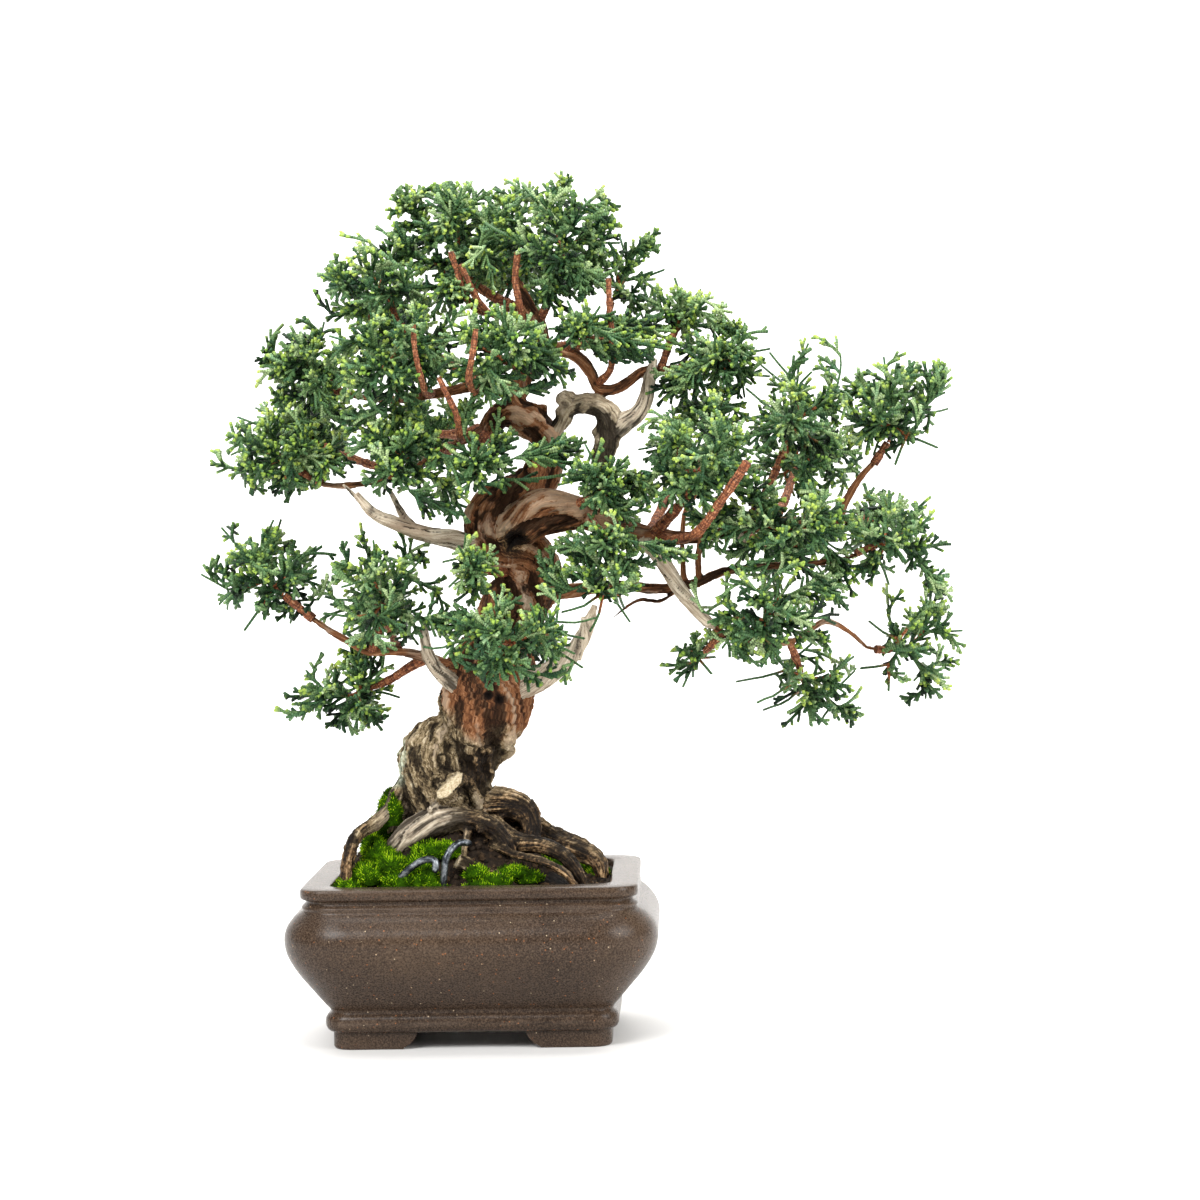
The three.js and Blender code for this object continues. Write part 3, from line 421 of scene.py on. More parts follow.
def wood_paint():
    """Living bark, old bark, bare deadwood, cut wood, lichen and wet roots, blended by fields, with
    painted shade and painted highlights
    """
    p = Paint("tree_surface", 0.85, specular=0.12)
    grain = p.field("grain", "Vector")
    place = p.place()
    relief = p.field("relief")
    strips = p.noise(p.stretched(grain, (0.45, 0.45, 0.07)), 1.0, 4.0, 0.6, 0.8)
    fibres = p.noise(p.stretched(grain, (1.35, 1.35, 0.1)), 1.0, 4.0, 0.65, 0.4)
    blotch = p.noise(place, 160.0, 4.0, 0.6)
    broad = p.noise(place, 62.0, 3.0, 0.55)
    specks = p.noise(place, 900.0, 3.0, 0.65)

    mixed = p.total((strips, 0.36), (fibres, 0.64))
    live = p.ramp(mixed, (0.34, "2c1a10"), (0.45, "613d27"), (0.54, "895b3b"), (0.66, "b68d6d"))
    peeled = p.ramp(mixed, (0.34, "3a2a20"), (0.46, "75604f"), (0.56, "a08b78"), (0.68, "cbb8a5"))
    live = p.mix(p.times(p.field("layer"), p.span(broad, 0.5, 0.66)), live, peeled)
    mottled = p.total((blotch, 0.18), (mixed, 0.6), (specks, 0.22))
    old = p.ramp(mottled, (0.38, "1a140e"), (0.46, "4b3f2e"), (0.53, "8c7a5c"), (0.62, "cfc0a2"))
    bare = p.ramp(fibres, (0.3, "6a5c4c"), (0.42, "a49480"), (0.56, "c9bba5"), (0.7, "e3d8c5"))
    bare = p.mix(p.times(p.span(broad, 0.5, 0.68), 0.6), bare, "9c8670")
    # The dark colour stands for wet roots and also for painted shade in folds and hollows
    wet_and_shaded = p.ramp(mottled, (0.42, "0b0a08"), (0.49, "2a2017"), (0.54, "785d40"), (0.61, "cfae82"))
    cut = p.ramp(fibres, (0.34, "a18b68"), (0.62, "ddceb0"))
    lichen = p.ramp(specks, (0.38, "8a9275"), (0.62, "d3d8c2"))

    colour = p.mix(p.field("aged"), live, old)
    colour = p.mix(p.field("dark"), colour, wet_and_shaded)
    colour = p.mix(p.field("bare"), colour, bare)
    colour = p.mix(p.times(p.field("lichen"), p.span(blotch, 0.44, 0.52)), colour, lichen)
    # Painted shade: grooves and hollows in the relief darken toward near-black. Painted highlight:
    # raised ridges turn paler
    colour = p.mix(p.times(p.span(relief, -0.1, -0.7), 0.85), colour, "120c08")
    painted_ridge_highlight = p.mix(1.0, colour, "b9a58c", "SCREEN")
    colour = p.mix(p.times(p.span(relief, 0.3, 0.95), 0.5), colour, painted_ridge_highlight)
    colour = p.mix(p.field("cut"), colour, cut)
    # Painted shade: the eyes in the bark go near-black
    colour = p.mix(p.times(p.field("hole"), 0.95), colour, "0c0705")
    normal = p.bump(fibres, 0.0007, 0.9)
    normal = p.bump(specks, 0.0004, 0.7, normal)
    return p.finish(colour, normal, p.math("SUBTRACT", 0.88, p.times(p.field("dark"), 0.35)))


def twig_paint():
    """Orange-brown twigs with overlapping dry scales, and painted shade under each scale's edge"""
    p = Paint("twig_bark", 0.75, specular=0.35)
    flakes = p.noise(p.stretched(p.field("grain", "Vector"), (0.8, 0.8, 0.5)), 1.0, 4.0, 0.7)
    colour = p.ramp(flakes, (0.34, "3a1b10"), (0.46, "784229"), (0.57, "a96840"), (0.69, "dcae88"))
    # Painted shade at the foot of each row of scales, where the scale before overlaps it
    colour = p.mix(p.times(p.span(p.field("relief"), 0.5, 0.0), 0.75), colour, "2a120b")
    return p.finish(colour, p.bump(flakes, 0.0004, 0.8))


def leaf_paint():
    """Scale shoots: brown at the old end, deep green, and yellow-green where they grow. The field
    shade holds painted light and shade
    """
    p = Paint("scale_leaf", 0.5, specular=0.25)
    shade = p.field("shade")
    place = p.place()
    value = p.total((shade, 0.75), (p.noise(place, 90.0, 3.0), 0.25))
    stops = (0.12, "0b1a0b"), (0.3, "2a4926"), (0.48, "4e7142"), (0.64, "77985e"), (0.84, "afc68d")
    green = p.ramp(value, *stops)
    cool = p.ramp(value, (0.1, "0f2a1c"), (0.4, "2b6347"), (0.8, "86b893"))
    green = p.mix(p.times(p.span(p.noise(place, 240.0, 2.0), 0.5, 0.7), 0.45), green, cool)
    scales = p.math("SINE", p.times(p.field("travel"), 6.8))
    green = p.mix(p.times(p.span(scales, 0.1, -0.9), 0.5), green, "12291a")
    tip = p.span(p.field("tip"), 0.2, 0.75)
    green = p.mix(p.times(tip, 0.85), green, p.mix(shade, "78a43c", "bdd058"))
    brown = p.ramp(p.noise(place, 1400.0, 2.0), (0.35, "5b2c19"), (0.6, "b06a40"))
    colour = p.mix(p.span(p.field("age"), 0.42, 0.3), green, brown)
    return p.finish(colour, p.bump(scales, 0.0002, 0.5))


def clay_paint():
    """Unglazed brown stoneware: fine grog, pale and rusty specks, pits, rubbed edges"""
    p = Paint("pot_clay", 0.4, specular=0.2)
    place = p.place()
    cloud = p.noise(place, 24.0, 4.0, 0.55)
    fine = p.noise(place, 1700.0, 3.0, 0.7)
    colour = p.ramp(cloud, (0.3, "2f241c"), (0.5, "392c22"), (0.7, "453629"))
    colour = p.mix(p.times(p.span(fine, 0.5, 0.64), 0.5), colour, "6b5848")
    colour = p.mix(p.times(p.span(fine, 0.48, 0.36), 0.6), colour, "150e09")
    dots = p.cells(place, 800.0)
    chance = p.node("SeparateColor", {"Color": p.cells(place, 800.0, "Color")}).outputs

    def some(channel, share, edge, middle):
        """The cells of a share of all, as round dots"""
        picked = p.math("GREATER_THAN", chance[channel], 1 - share)
        return p.times(p.span(dots, edge, middle), picked)

    pits = some(2, 0.06, 0.26, 0.1)
    colour = p.mix(p.times(some(1, 0.1, 0.26, 0.14), 0.75), colour, "a5663c")
    colour = p.mix(p.times(some(0, 0.045, 0.22, 0.12), 0.85), colour, "d6bf9f")
    colour = p.mix(p.times(pits, 0.8), colour, "1c1511")
    colour = p.mix(p.times(p.field("rub"), 0.3), colour, "6f5f52")
    normal = p.bump(p.math("SUBTRACT", fine, p.times(pits, 1.5)), 0.0001, 0.6)
    normal = p.bump(p.noise(place, 300.0, 3.0), 0.0003, 0.35, normal)
    return p.finish(colour, normal, p.math("ADD", 0.2, p.times(fine, 0.16)))


def moss_paint():
    p = Paint("moss", 0.9, specular=0.05)
    place = p.place()
    value = p.total((p.field("tip"), 0.6), (p.noise(place, 260.0, 3.0), 0.4))
    colour = p.ramp(value, (0.12, "091201"), (0.3, "2b4c03"), (0.48, "6c9807"), (0.68, "c2da30"))
    return p.finish(colour, p.bump(p.noise(place, 1500.0), 0.0006, 0.8))


def soil_paint():
    p = Paint("soil", 0.95, specular=0.2)
    place = p.place()
    value = p.total((p.field("tone"), 0.5), (p.noise(place, 700.0, 3.0), 0.5))
    colour = p.ramp(value, (0.25, "120e0b"), (0.45, "2c2219"), (0.65, "4f3d2b"), (0.85, "7c6448"))
    return p.finish(colour, p.bump(p.noise(place, 1200.0, 4.0), 0.0008, 0.9))


def wire_paint():
    p = Paint("tie_wire_metal", 0.34, metallic=0.85)
    film = p.noise(p.place(), 420.0, 4.0, 0.65)
    colour = p.ramp(film, (0.3, "1e2124"), (0.5, "454a50"), (0.7, "a2a7ab"))
    return p.finish(colour, p.bump(film, 0.0003, 0.4), p.math("ADD", 0.2, p.times(film, 0.35)))


def screen_paint():
    p = Paint("screen_plastic", 0.55)
    film = p.noise(p.place(), 800.0, 3.0)
    return p.finish(p.ramp(film, (0.3, "0b0c0b"), (0.7, "23251f")), p.bump(film, 0.0002, 0.4))


# The tree's routes, as stations [x, y, z, radius]. Depths of deadwood, branches and foliage
# are stretched by CROWN_DEPTH below the tables

TRUNK = [
    [-1, 4, 67.5, 8], [-2, 3, 77.5, 8.2], [-2.5, 2, 87, 8.4], [-1, 1, 96, 10], [1.5, 0, 107, 13.6],
    [5, -2, 118, 16.5], [7, -2, 128.5, 16], [10.5, -1, 139.5, 13.6], [15.5, 1, 151, 12.9],
    [19.5, 2, 161.5, 11.9], [17.5, 1, 171, 10.8], [10.5, -2, 178, 10.8], [10, -4, 185, 10],
    [16.5, -3, 191.5, 9.3], [24, -1, 198.5, 7.5], [28, 0, 206.5, 6.1], [28, 0, 213.5, 5.7],
    [23.5, 0, 220, 6.1], [17, 2, 223, 5.8], [11.5, 4, 221.5, 5], [7.5, 6, 217.5, 4],
    [5.5, 7, 213, 2.9],
]
UPPER_TRUNK = [
    [23, 0, 218.5, 5], [17.5, 2, 226.5, 4.7], [19, 3, 233, 4.3], [23, 3, 239, 4], [27, 2, 245, 3.6],
    [26, 3, 253, 3.2], [22, 5, 261.5, 2.5], [17.5, 8, 271.5, 1.8],
]
LEFT_LOBE = [
    [-12.5, -6, 70.5, 7.1], [-13.5, -6, 81.5, 8.9], [-15.5, -5, 90.5, 11.1], [-15.5, -4, 99, 12],
    [-13, -3, 105, 10.2], [-7, -2, 109, 8], [1, 0, 112, 7],
]
CUT_STUB = [
    [-4.5, -4, 84.5, 7.2], [-6.5, -13, 88.5, 7.1], [-7.5, -19, 91, 6.5],
]
ROOTS = [
    [[-22.5, -2, 93, 3.9], [-26.5, -6, 88, 3.2], [-30.5, -12, 81, 2.8], [-35.5, -18, 77, 2.8],
     [-40, -24, 74.5, 2.8], [-42, -28, 69.5, 2.8], [-43.5, -30, 62, 2.4], [-44, -30, 52, 1.7]],
    [[-31, -16, 61, 3.2], [-26.5, -16, 69, 4.6], [-20, -16, 74, 5.7], [-11.5, -15, 77.5, 5.7],
     [-2.5, -15, 78.5, 4.6], [6.5, -17, 75.5, 4.2], [12, -19, 70, 3.5], [14.5, -19, 61, 2.5]],
    [[-2, 3, 82, 6.5], [9.5, 1, 81.5, 5.8], [17.5, -1, 79.5, 5], [20.5, -4, 74, 3.9],
     [19.5, -8, 66, 2.9]],
    [[6, -6, 74.5, 4.6], [14.5, -12, 70, 3.9], [26.5, -19, 68.5, 3.5], [34, -23, 64.5, 3.2],
     [38.5, -25, 58, 2.5], [41, -25, 50, 1.8]],
    [[7, 6, 78.5, 5.1], [18, 7, 74.5, 4.3], [29, 5, 68.5, 4], [38.5, 1, 64.5, 4],
     [44.5, -3, 60.5, 3.2], [46, -5, 51, 2.1]],
    [[6.5, -18, 70, 1.8], [15, -26, 67, 1.6], [24, -30, 65, 1.6], [33, -32, 61, 1.6],
     [38.5, -32, 54, 1.1]],
    [[-3, -8, 76.5, 1.5], [-1, -18, 73.5, 1.8], [-2.5, -23, 67.5, 1.8], [-4, -24, 60, 1.4]],
    [[-4.5, -31, 65.5, 2.8], [-0.5, -30, 63, 2.8], [4, -26, 60, 2.6], [4, -15, 62, 3],
     [2, -2, 71, 4]],
    [[2, -27.5, 61.5, 2.2], [11, -30.5, 59, 2.1], [19, -31, 52.5, 1.4]],
    [[-3, 10, 82.5, 5.4], [-12.5, 22, 73, 4], [-23, 29, 63, 3], [-30, 31, 48.5, 1.9]],
    [[5.5, 10, 81.5, 5.4], [14, 22, 71.5, 4], [23.5, 28, 60.5, 2.9], [28, 30, 47, 1.8]],
    [[-19, -2, 91, 5], [-24.5, -4, 83.5, 4.5], [-29, -6, 76, 4], [-34, -6, 65, 3]],
    [[-16, 4, 83, 4.7], [-25, 10, 73, 3.6], [-34, 14, 65.5, 2.9], [-40.5, 16, 58, 2.2],
     [-42, 16, 49.5, 1.5]],
]
ROOT_STUBS = [
    [[4.5, -12, 73, 1.7], [3.5, -23, 75.5, 1.9]],
    [[-10, -10, 83.5, 1.5], [-14.5, -20, 82.5, 1.6]],
]
DEADWOOD = [
    [[15.5, -6, 124, 4.6], [26, -10, 128, 4.3], [34, -14, 134, 3.8], [39.5, -17, 140.5, 3.2],
     [43, -19, 147, 2.5], [45.5, -20, 154, 1.1]],
    [[38, -16, 135, 2.2], [41, -20, 143, 1.9], [41.5, -23, 150, 0.9]],
    [[4.5, -3, 174.5, 4.7], [-5.5, -9, 178, 3.6], [-15, -13, 180, 3.2], [-25, -16, 184, 2.8],
     [-32.5, -18, 188, 2.1], [-38, -19, 194.5, 1.1]],
    [[-17.5, -13, 181, 1.8], [-22.5, -12, 187, 1.6], [-25.5, -11, 192.5, 1.2],
     [-27.5, -11, 196.5, 0.9]],
    [[-30.5, -17, 187, 1.4], [-37.5, -16, 192.5, 1.1], [-43, -15, 198, 0.7]],
    [[29, 0, 212.5, 3.2], [33.5, -2, 219, 3.2], [38, -3, 223.5, 3.9], [44.5, -4, 224.5, 4.2],
     [50, -5, 221, 4.8], [50.5, -5, 214, 5], [48.5, -6, 206, 4.6], [47.5, -7, 198, 3.7],
     [46.5, -8, 186.5, 3.2]],
    [[38.5, -3, 223, 2.9], [36, -4, 227, 2.9], [33.5, -5, 228.5, 1.8]],
    [[50, -5, 212, 3.2], [55.5, -5, 217.5, 3.9], [60.5, -4, 220.5, 3.2], [64, -3, 225.5, 2.9],
     [65.5, -2, 232, 2.5], [67.5, 0, 241, 1.4]],
    [[61.5, -8, 178, 3.2], [67, -10, 172, 2.8], [71.5, -12, 165, 2.8], [75.5, -14, 158.5, 2.8],
     [80.5, -15, 152, 2.5], [86, -16, 146, 2.1]],
    [[88.5, -12, 191, 1.5], [92, -8, 183, 2.1], [99.5, -13, 175, 1.6]],
    [[-4, -8, 124, 3.2], [-13, -10, 133.5, 2.5], [-15.5, -11, 142, 2.1], [-16, -11, 150.5, 1.1]],
]
# The grey arch between the two trunks, which still has some of its bark
WEATHERED = DEADWOOD[5:7]
# The knee over the trunk's first bend
KNEE = [
    [12, -6, 177, 5.5], [23, -9, 182.5, 6], [32, -10, 184.5, 5.6], [42, -9.5, 184.5, 4.2],
]
BRANCHES = [
    KNEE,
    [[11, -5, 176.5, 5], [19, -9, 185, 5.3], [28, -11, 189.5, 5.7], [36.5, -10, 187.5, 5.3],
     [45, -9, 184, 4.6], [54.5, -8, 180.5, 3.9], [65.5, -8, 177.5, 3.6], [80, -6, 176.5, 3.2],
     [94.5, -4, 179, 2.9], [108.5, -2, 181, 2.5], [121.5, 0, 181.5, 2.2], [131, 2, 180.5, 2.2],
     [135.5, 4, 189, 2], [141, 6, 197, 1.8], [148, 7, 204.5, 1.6]],
    [[20.5, 2, 159.5, 4], [33, -1, 158, 3.2], [44, -3, 159.5, 2.9], [54.5, -5, 160, 2.7],
     [64.5, -6, 159, 2.7], [73.5, -6, 159, 2.5], [82, -6, 161, 2.5], [91, -7, 164.5, 2.3],
     [104, -7, 166, 2.1], [117.5, -6, 166.5, 1.8], [132, -5, 168, 1.6], [142.5, -3, 171, 1.3]],
    [[51, -8, 148.5, 1.1], [55.5, -8, 152, 1.4], [61, -8, 155, 1.6], [68, -8, 154.5, 1.6],
     [74.5, -7, 158, 1.4]],
    [[83.5, -15, 148.5, 2.1], [92, -14, 142, 1.9], [104, -12, 138.5, 1.8], [116.5, -9, 140, 1.6],
     [126.5, -6, 146, 1.6], [135.5, 0, 142, 1.4], [142.5, 5, 136, 1.4], [148.5, 8, 134.5, 1.4]],
    [[2, -4, 128, 3.2], [-14.5, -9, 135.5, 2.5], [-25, -9, 138, 2.1], [-35.5, -8, 138, 2],
     [-43, -7, 141.5, 1.8], [-50.5, -6, 146, 1.8], [-61, -5, 153.5, 1.6]],
    [[8.5, 5, 218, 3.2], [0, 3, 214, 2.5], [-11, 1, 207.5, 2.2], [-24, 0, 201.5, 2],
     [-38, -2, 198, 1.8], [-51, -4, 198, 1.4], [-57.5, -4, 201, 1.4]],
    [[18, 2, 228.5, 3.2], [6.5, 0, 232.5, 2.9], [-7, -4, 230.5, 2.5], [-22, -4, 228, 2.1],
     [-37.5, -1, 229, 1.8], [-50.5, 4, 233.5, 1.4]],
    [[26.5, 2, 244, 3.2], [35.5, -1, 244.5, 2.9], [41.5, -3, 241, 2.9], [45, -3, 236, 2.9],
     [47.5, -3, 231, 2.9], [52, -3, 230, 2.9], [57.5, -2, 232.5, 2.7], [63.5, 0, 236.5, 2.5],
     [71, 2, 237, 2.2], [84, 2, 239, 1.6]],
    [[82, -6, 160, 1.8], [82.5, -9, 173, 1.8], [87, -11, 184.5, 2], [92.5, -13, 193, 2.1],
     [100, -15, 203, 2.3]],
    [[77, -6, 159, 1.8], [76.5, -2, 171.5, 1.6], [77, 2, 183, 1.6], [80, 6, 193, 1.3]],
]
# Foliage sprays: name, middle, half sizes, and the twig that carries each
SPRAYS = [
    ("crown_left", [-1.5, 10, 285], [21.5, 22, 21.5],
     [[23, 4, 258, 2.2], [12, 6, 263.5, 2], [3.5, 8, 269.5, 1.6], [-1.5, 10, 277.5, 1.3]]),
    ("crown_right", [34, 0, 284.5], [21, 22, 21.5],
     [[25.5, 3, 253.5, 1.8], [30, 2, 263, 1.6], [33, 1, 272.5, 1.3]]),
    ("upper_left", [-31.5, -5, 270], [19.5, 20, 15.5],
     [[-15, -5, 229, 1.8], [-16.5, -6, 244.5, 1.6], [-21.5, -6, 254.5, 1.4],
      [-26.5, -5, 262, 1.3]]),
    ("upper_right", [60, 15, 270.5], [11, 14, 18.5],
     [[27, 2, 245, 2.5], [39, 6, 246.5, 2.2], [49, 10, 250.5, 1.8], [52, 13, 262.5, 1.3]]),
    ("mid_left", [-24.5, -25, 239.5], [20.5, 18, 18],
     [[-22, -4, 228, 1.8], [-24, -12, 233, 1.4], [-24.5, -18, 237, 1.2]]),
    ("mid_front", [12.5, -26, 243.5], [22.5, 18, 17],
     [[22.5, 0, 238, 2.2], [18, -10, 239, 1.6], [15, -18, 240, 1.2]]),
    ("outer_left", [-56, 5, 239], [17.5, 20, 17.5],
     [[-45, 2, 231, 1.7], [-50.5, 4, 233.5, 1.3]]),
    ("low_left", [-67.5, -5, 208.5], [22, 22, 15.5],
     [[-52, -4, 198.5, 1.5], [-60, -5, 203, 1.3]]),
    ("inner_left", [-22, -20, 209.5], [17.5, 18, 17.5],
     [[-6, 2, 210.5, 2.2], [-12, -9, 209, 1.6], [-17, -14, 207.5, 1.2]]),
    ("hook_front", [6, -22, 203.5], [13.5, 12, 12],
     [[6.5, 5, 216, 2.2], [5.5, -7, 211, 1.6], [5.5, -15, 206.5, 1.2]]),
    ("bend_front", [48.5, -26, 197.5], [13.5, 12, 13.5],
     [[39.5, -12, 189, 1.8], [44, -17, 192, 1.4], [46, -20, 193.5, 1.2]]),
    ("reach_up", [77, 10, 259.5], [14, 14, 11.5],
     [[69.5, 2, 236.5, 1.8], [72.5, 5, 245, 1.4], [75.5, 8, 252, 1.3]]),
    ("reach_right", [95, 0, 239.5], [14, 16, 14],
     [[80, 2, 238.5, 1.8], [88, 1, 239.5, 1.3]]),
    ("right_inner", [83.5, -22, 204], [21, 18, 21],
     [[65.5, -8, 177.5, 2.5], [73.5, -14, 186, 1.9], [80, -18, 193.5, 1.6], [82.5, -20, 198, 1.2]]),
    ("right_mid", [121, 0, 217], [19.5, 22, 20],
     [[95.5, -4, 179, 2], [103.5, -4, 187, 2], [109, -3, 197.5, 1.6], [114, -1, 208, 1.4],
      [117, 0, 213, 1.3]]),
    ("right_high", [153, 8, 224], [19, 20, 15],
     [[146, 7, 202, 1.7], [151, 8, 209.5, 1.3]]),
    ("right_low", [111.5, -16, 180.5], [28, 18, 15],
     [[108.5, -2, 181, 2.2], [110, -7, 180, 1.6], [111, -11, 179, 1.2]]),
    ("right_end", [152.5, -2, 177], [18.5, 18, 14.5],
     [[138, -4, 170, 1.5], [145, -2.5, 172.5, 1.3]]),
    ("drop_front", [105.5, -20, 150.5], [22.5, 18, 17.5],
     [[97.5, -13, 140, 1.8], [101, -15.5, 143, 1.4], [103, -17, 145.5, 1.2]]),
    ("drop_right", [160.5, 10, 137.5], [15, 16, 20],
     [[145.5, 6.5, 135, 1.5], [151, 8.5, 134.5, 1.3]]),
    ("drop_low", [124, 0, 123], [19, 16, 14.5],
     [[114, -9, 139.5, 1.6], [116.5, -4, 132.5, 1.4], [118, -1.5, 128, 1.3]]),
    ("drop_tip", [75, -8, 133], [8, 9, 8.5],
     [[90.5, -14, 143, 1.6], [86.5, -12, 139, 1.4], [84, -10.5, 136.5, 1.2]]),
    ("bend_low", [50, -28, 164], [12, 14, 10],
     [[46.5, -3, 159.5, 1.8], [47.5, -14, 159, 1.4], [48.5, -21, 158.5, 1.2]]),
    ("front_low", [16.5, -38, 143], [23, 18, 17],
     [[12, -8, 138, 2.5], [14.5, -20, 139, 1.8], [16.5, -29, 140.5, 1.4]]),
    ("far_left", [-72, -5, 168], [19.5, 22, 18],
     [[-56, -5.5, 150, 1.7], [-66.5, -5, 158.5, 1.3]]),
    ("left_low", [-30, -12, 159.5], [20, 20, 24],
     [[-35, -8, 138, 1.8], [-32.5, -10, 144.5, 1.6], [-31, -11.5, 151.5, 1.2]]),
    ("left_under", [-46, 0, 121], [19.5, 16, 12.5],
     [[-15, -8, 136, 2.1], [-23, -4, 131.5, 1.8], [-29.5, -2, 127.5, 1.6], [-37, 0, 124.5, 1.3]]),
    ("trunk_front", [2.5, -28, 168.5], [10, 10, 12],
     [[13, -6, 165.5, 1.8], [7.5, -16, 166.5, 1.4], [5, -22, 167.5, 1.2]]),
    ("bend_mid", [50, -30, 177], [12, 10, 9.5],
     [[44.5, -12, 183.5, 1.8], [47, -19, 181, 1.4], [48.5, -24, 179, 1.2]]),
    ("gap_high", [41, -14, 252], [10, 12, 9],
     [[37, -2, 244.5, 1.8], [39, -6, 246.5, 1.4], [40, -9, 248.5, 1.2]]),
    ("gap_right", [88, 6, 222], [14, 12, 9],
     [[79.5, 5, 190, 1.6], [84, 6, 201, 1.4], [87, 6, 211, 1.2]]),
    ("back_crown", [14, 45, 284.5], [20.5, 20, 22.5],
     [[24.5, 3, 251.5, 2.2], [21, 18, 262, 1.8], [17, 34, 272.5, 1.5]]),
    ("back_left_high", [-29.5, 42, 256.5], [20.5, 20, 19.5],
     [[6, 2, 232.5, 2.2], [-6.5, 18, 240.5, 1.8], [-19, 30, 248, 1.5]]),
    ("back_left_mid", [-23.5, 48, 218], [20.5, 20, 15],
     [[7.5, 5, 218, 2.2], [-4, 22, 216, 1.8], [-14.5, 38, 216.5, 1.5]]),
    ("back_left_out", [-65, 38, 218.5], [18.5, 18, 15],
     [[-24.5, 1, 201.5, 1.8], [-44, 18, 207.5, 1.6], [-57, 30, 213, 1.3]]),
    ("back_right_in", [80.5, 40, 207.5], [19.5, 20, 17.5],
     [[65, -6, 178, 2.2], [70, 14, 189, 1.8], [76, 30, 199.5, 1.5]]),
    ("back_right_mid", [122, 50, 208], [21.5, 20, 19],
     [[109, -1, 181.5, 1.8], [114.5, 22, 190, 1.6], [119, 38, 200.5, 1.3]]),
    ("back_right_low", [116.5, 42, 172.5], [24, 20, 17],
     [[94.5, -2, 179, 1.8], [103, 18, 175, 1.6], [111.5, 32, 172.5, 1.3]]),
    ("back_low", [11.5, 38, 139], [22.5, 18, 13],
     [[12, 8, 140.5, 2.2], [10.5, 22, 138.5, 1.8], [10.5, 30, 138, 1.5]]),
    ("back_left_low", [-38.5, 30, 154], [17.5, 16, 15.5],
     [[-25.5, -8, 138, 1.8], [-30.5, 10, 144, 1.4], [-36, 22, 150.5, 1.3]]),
    ("back_right_out", [150, 36, 181], [16, 16, 14],
     [[132, 3, 181.5, 1.6], [139, 18, 182, 1.5], [145, 28, 181.5, 1.3]]),
]
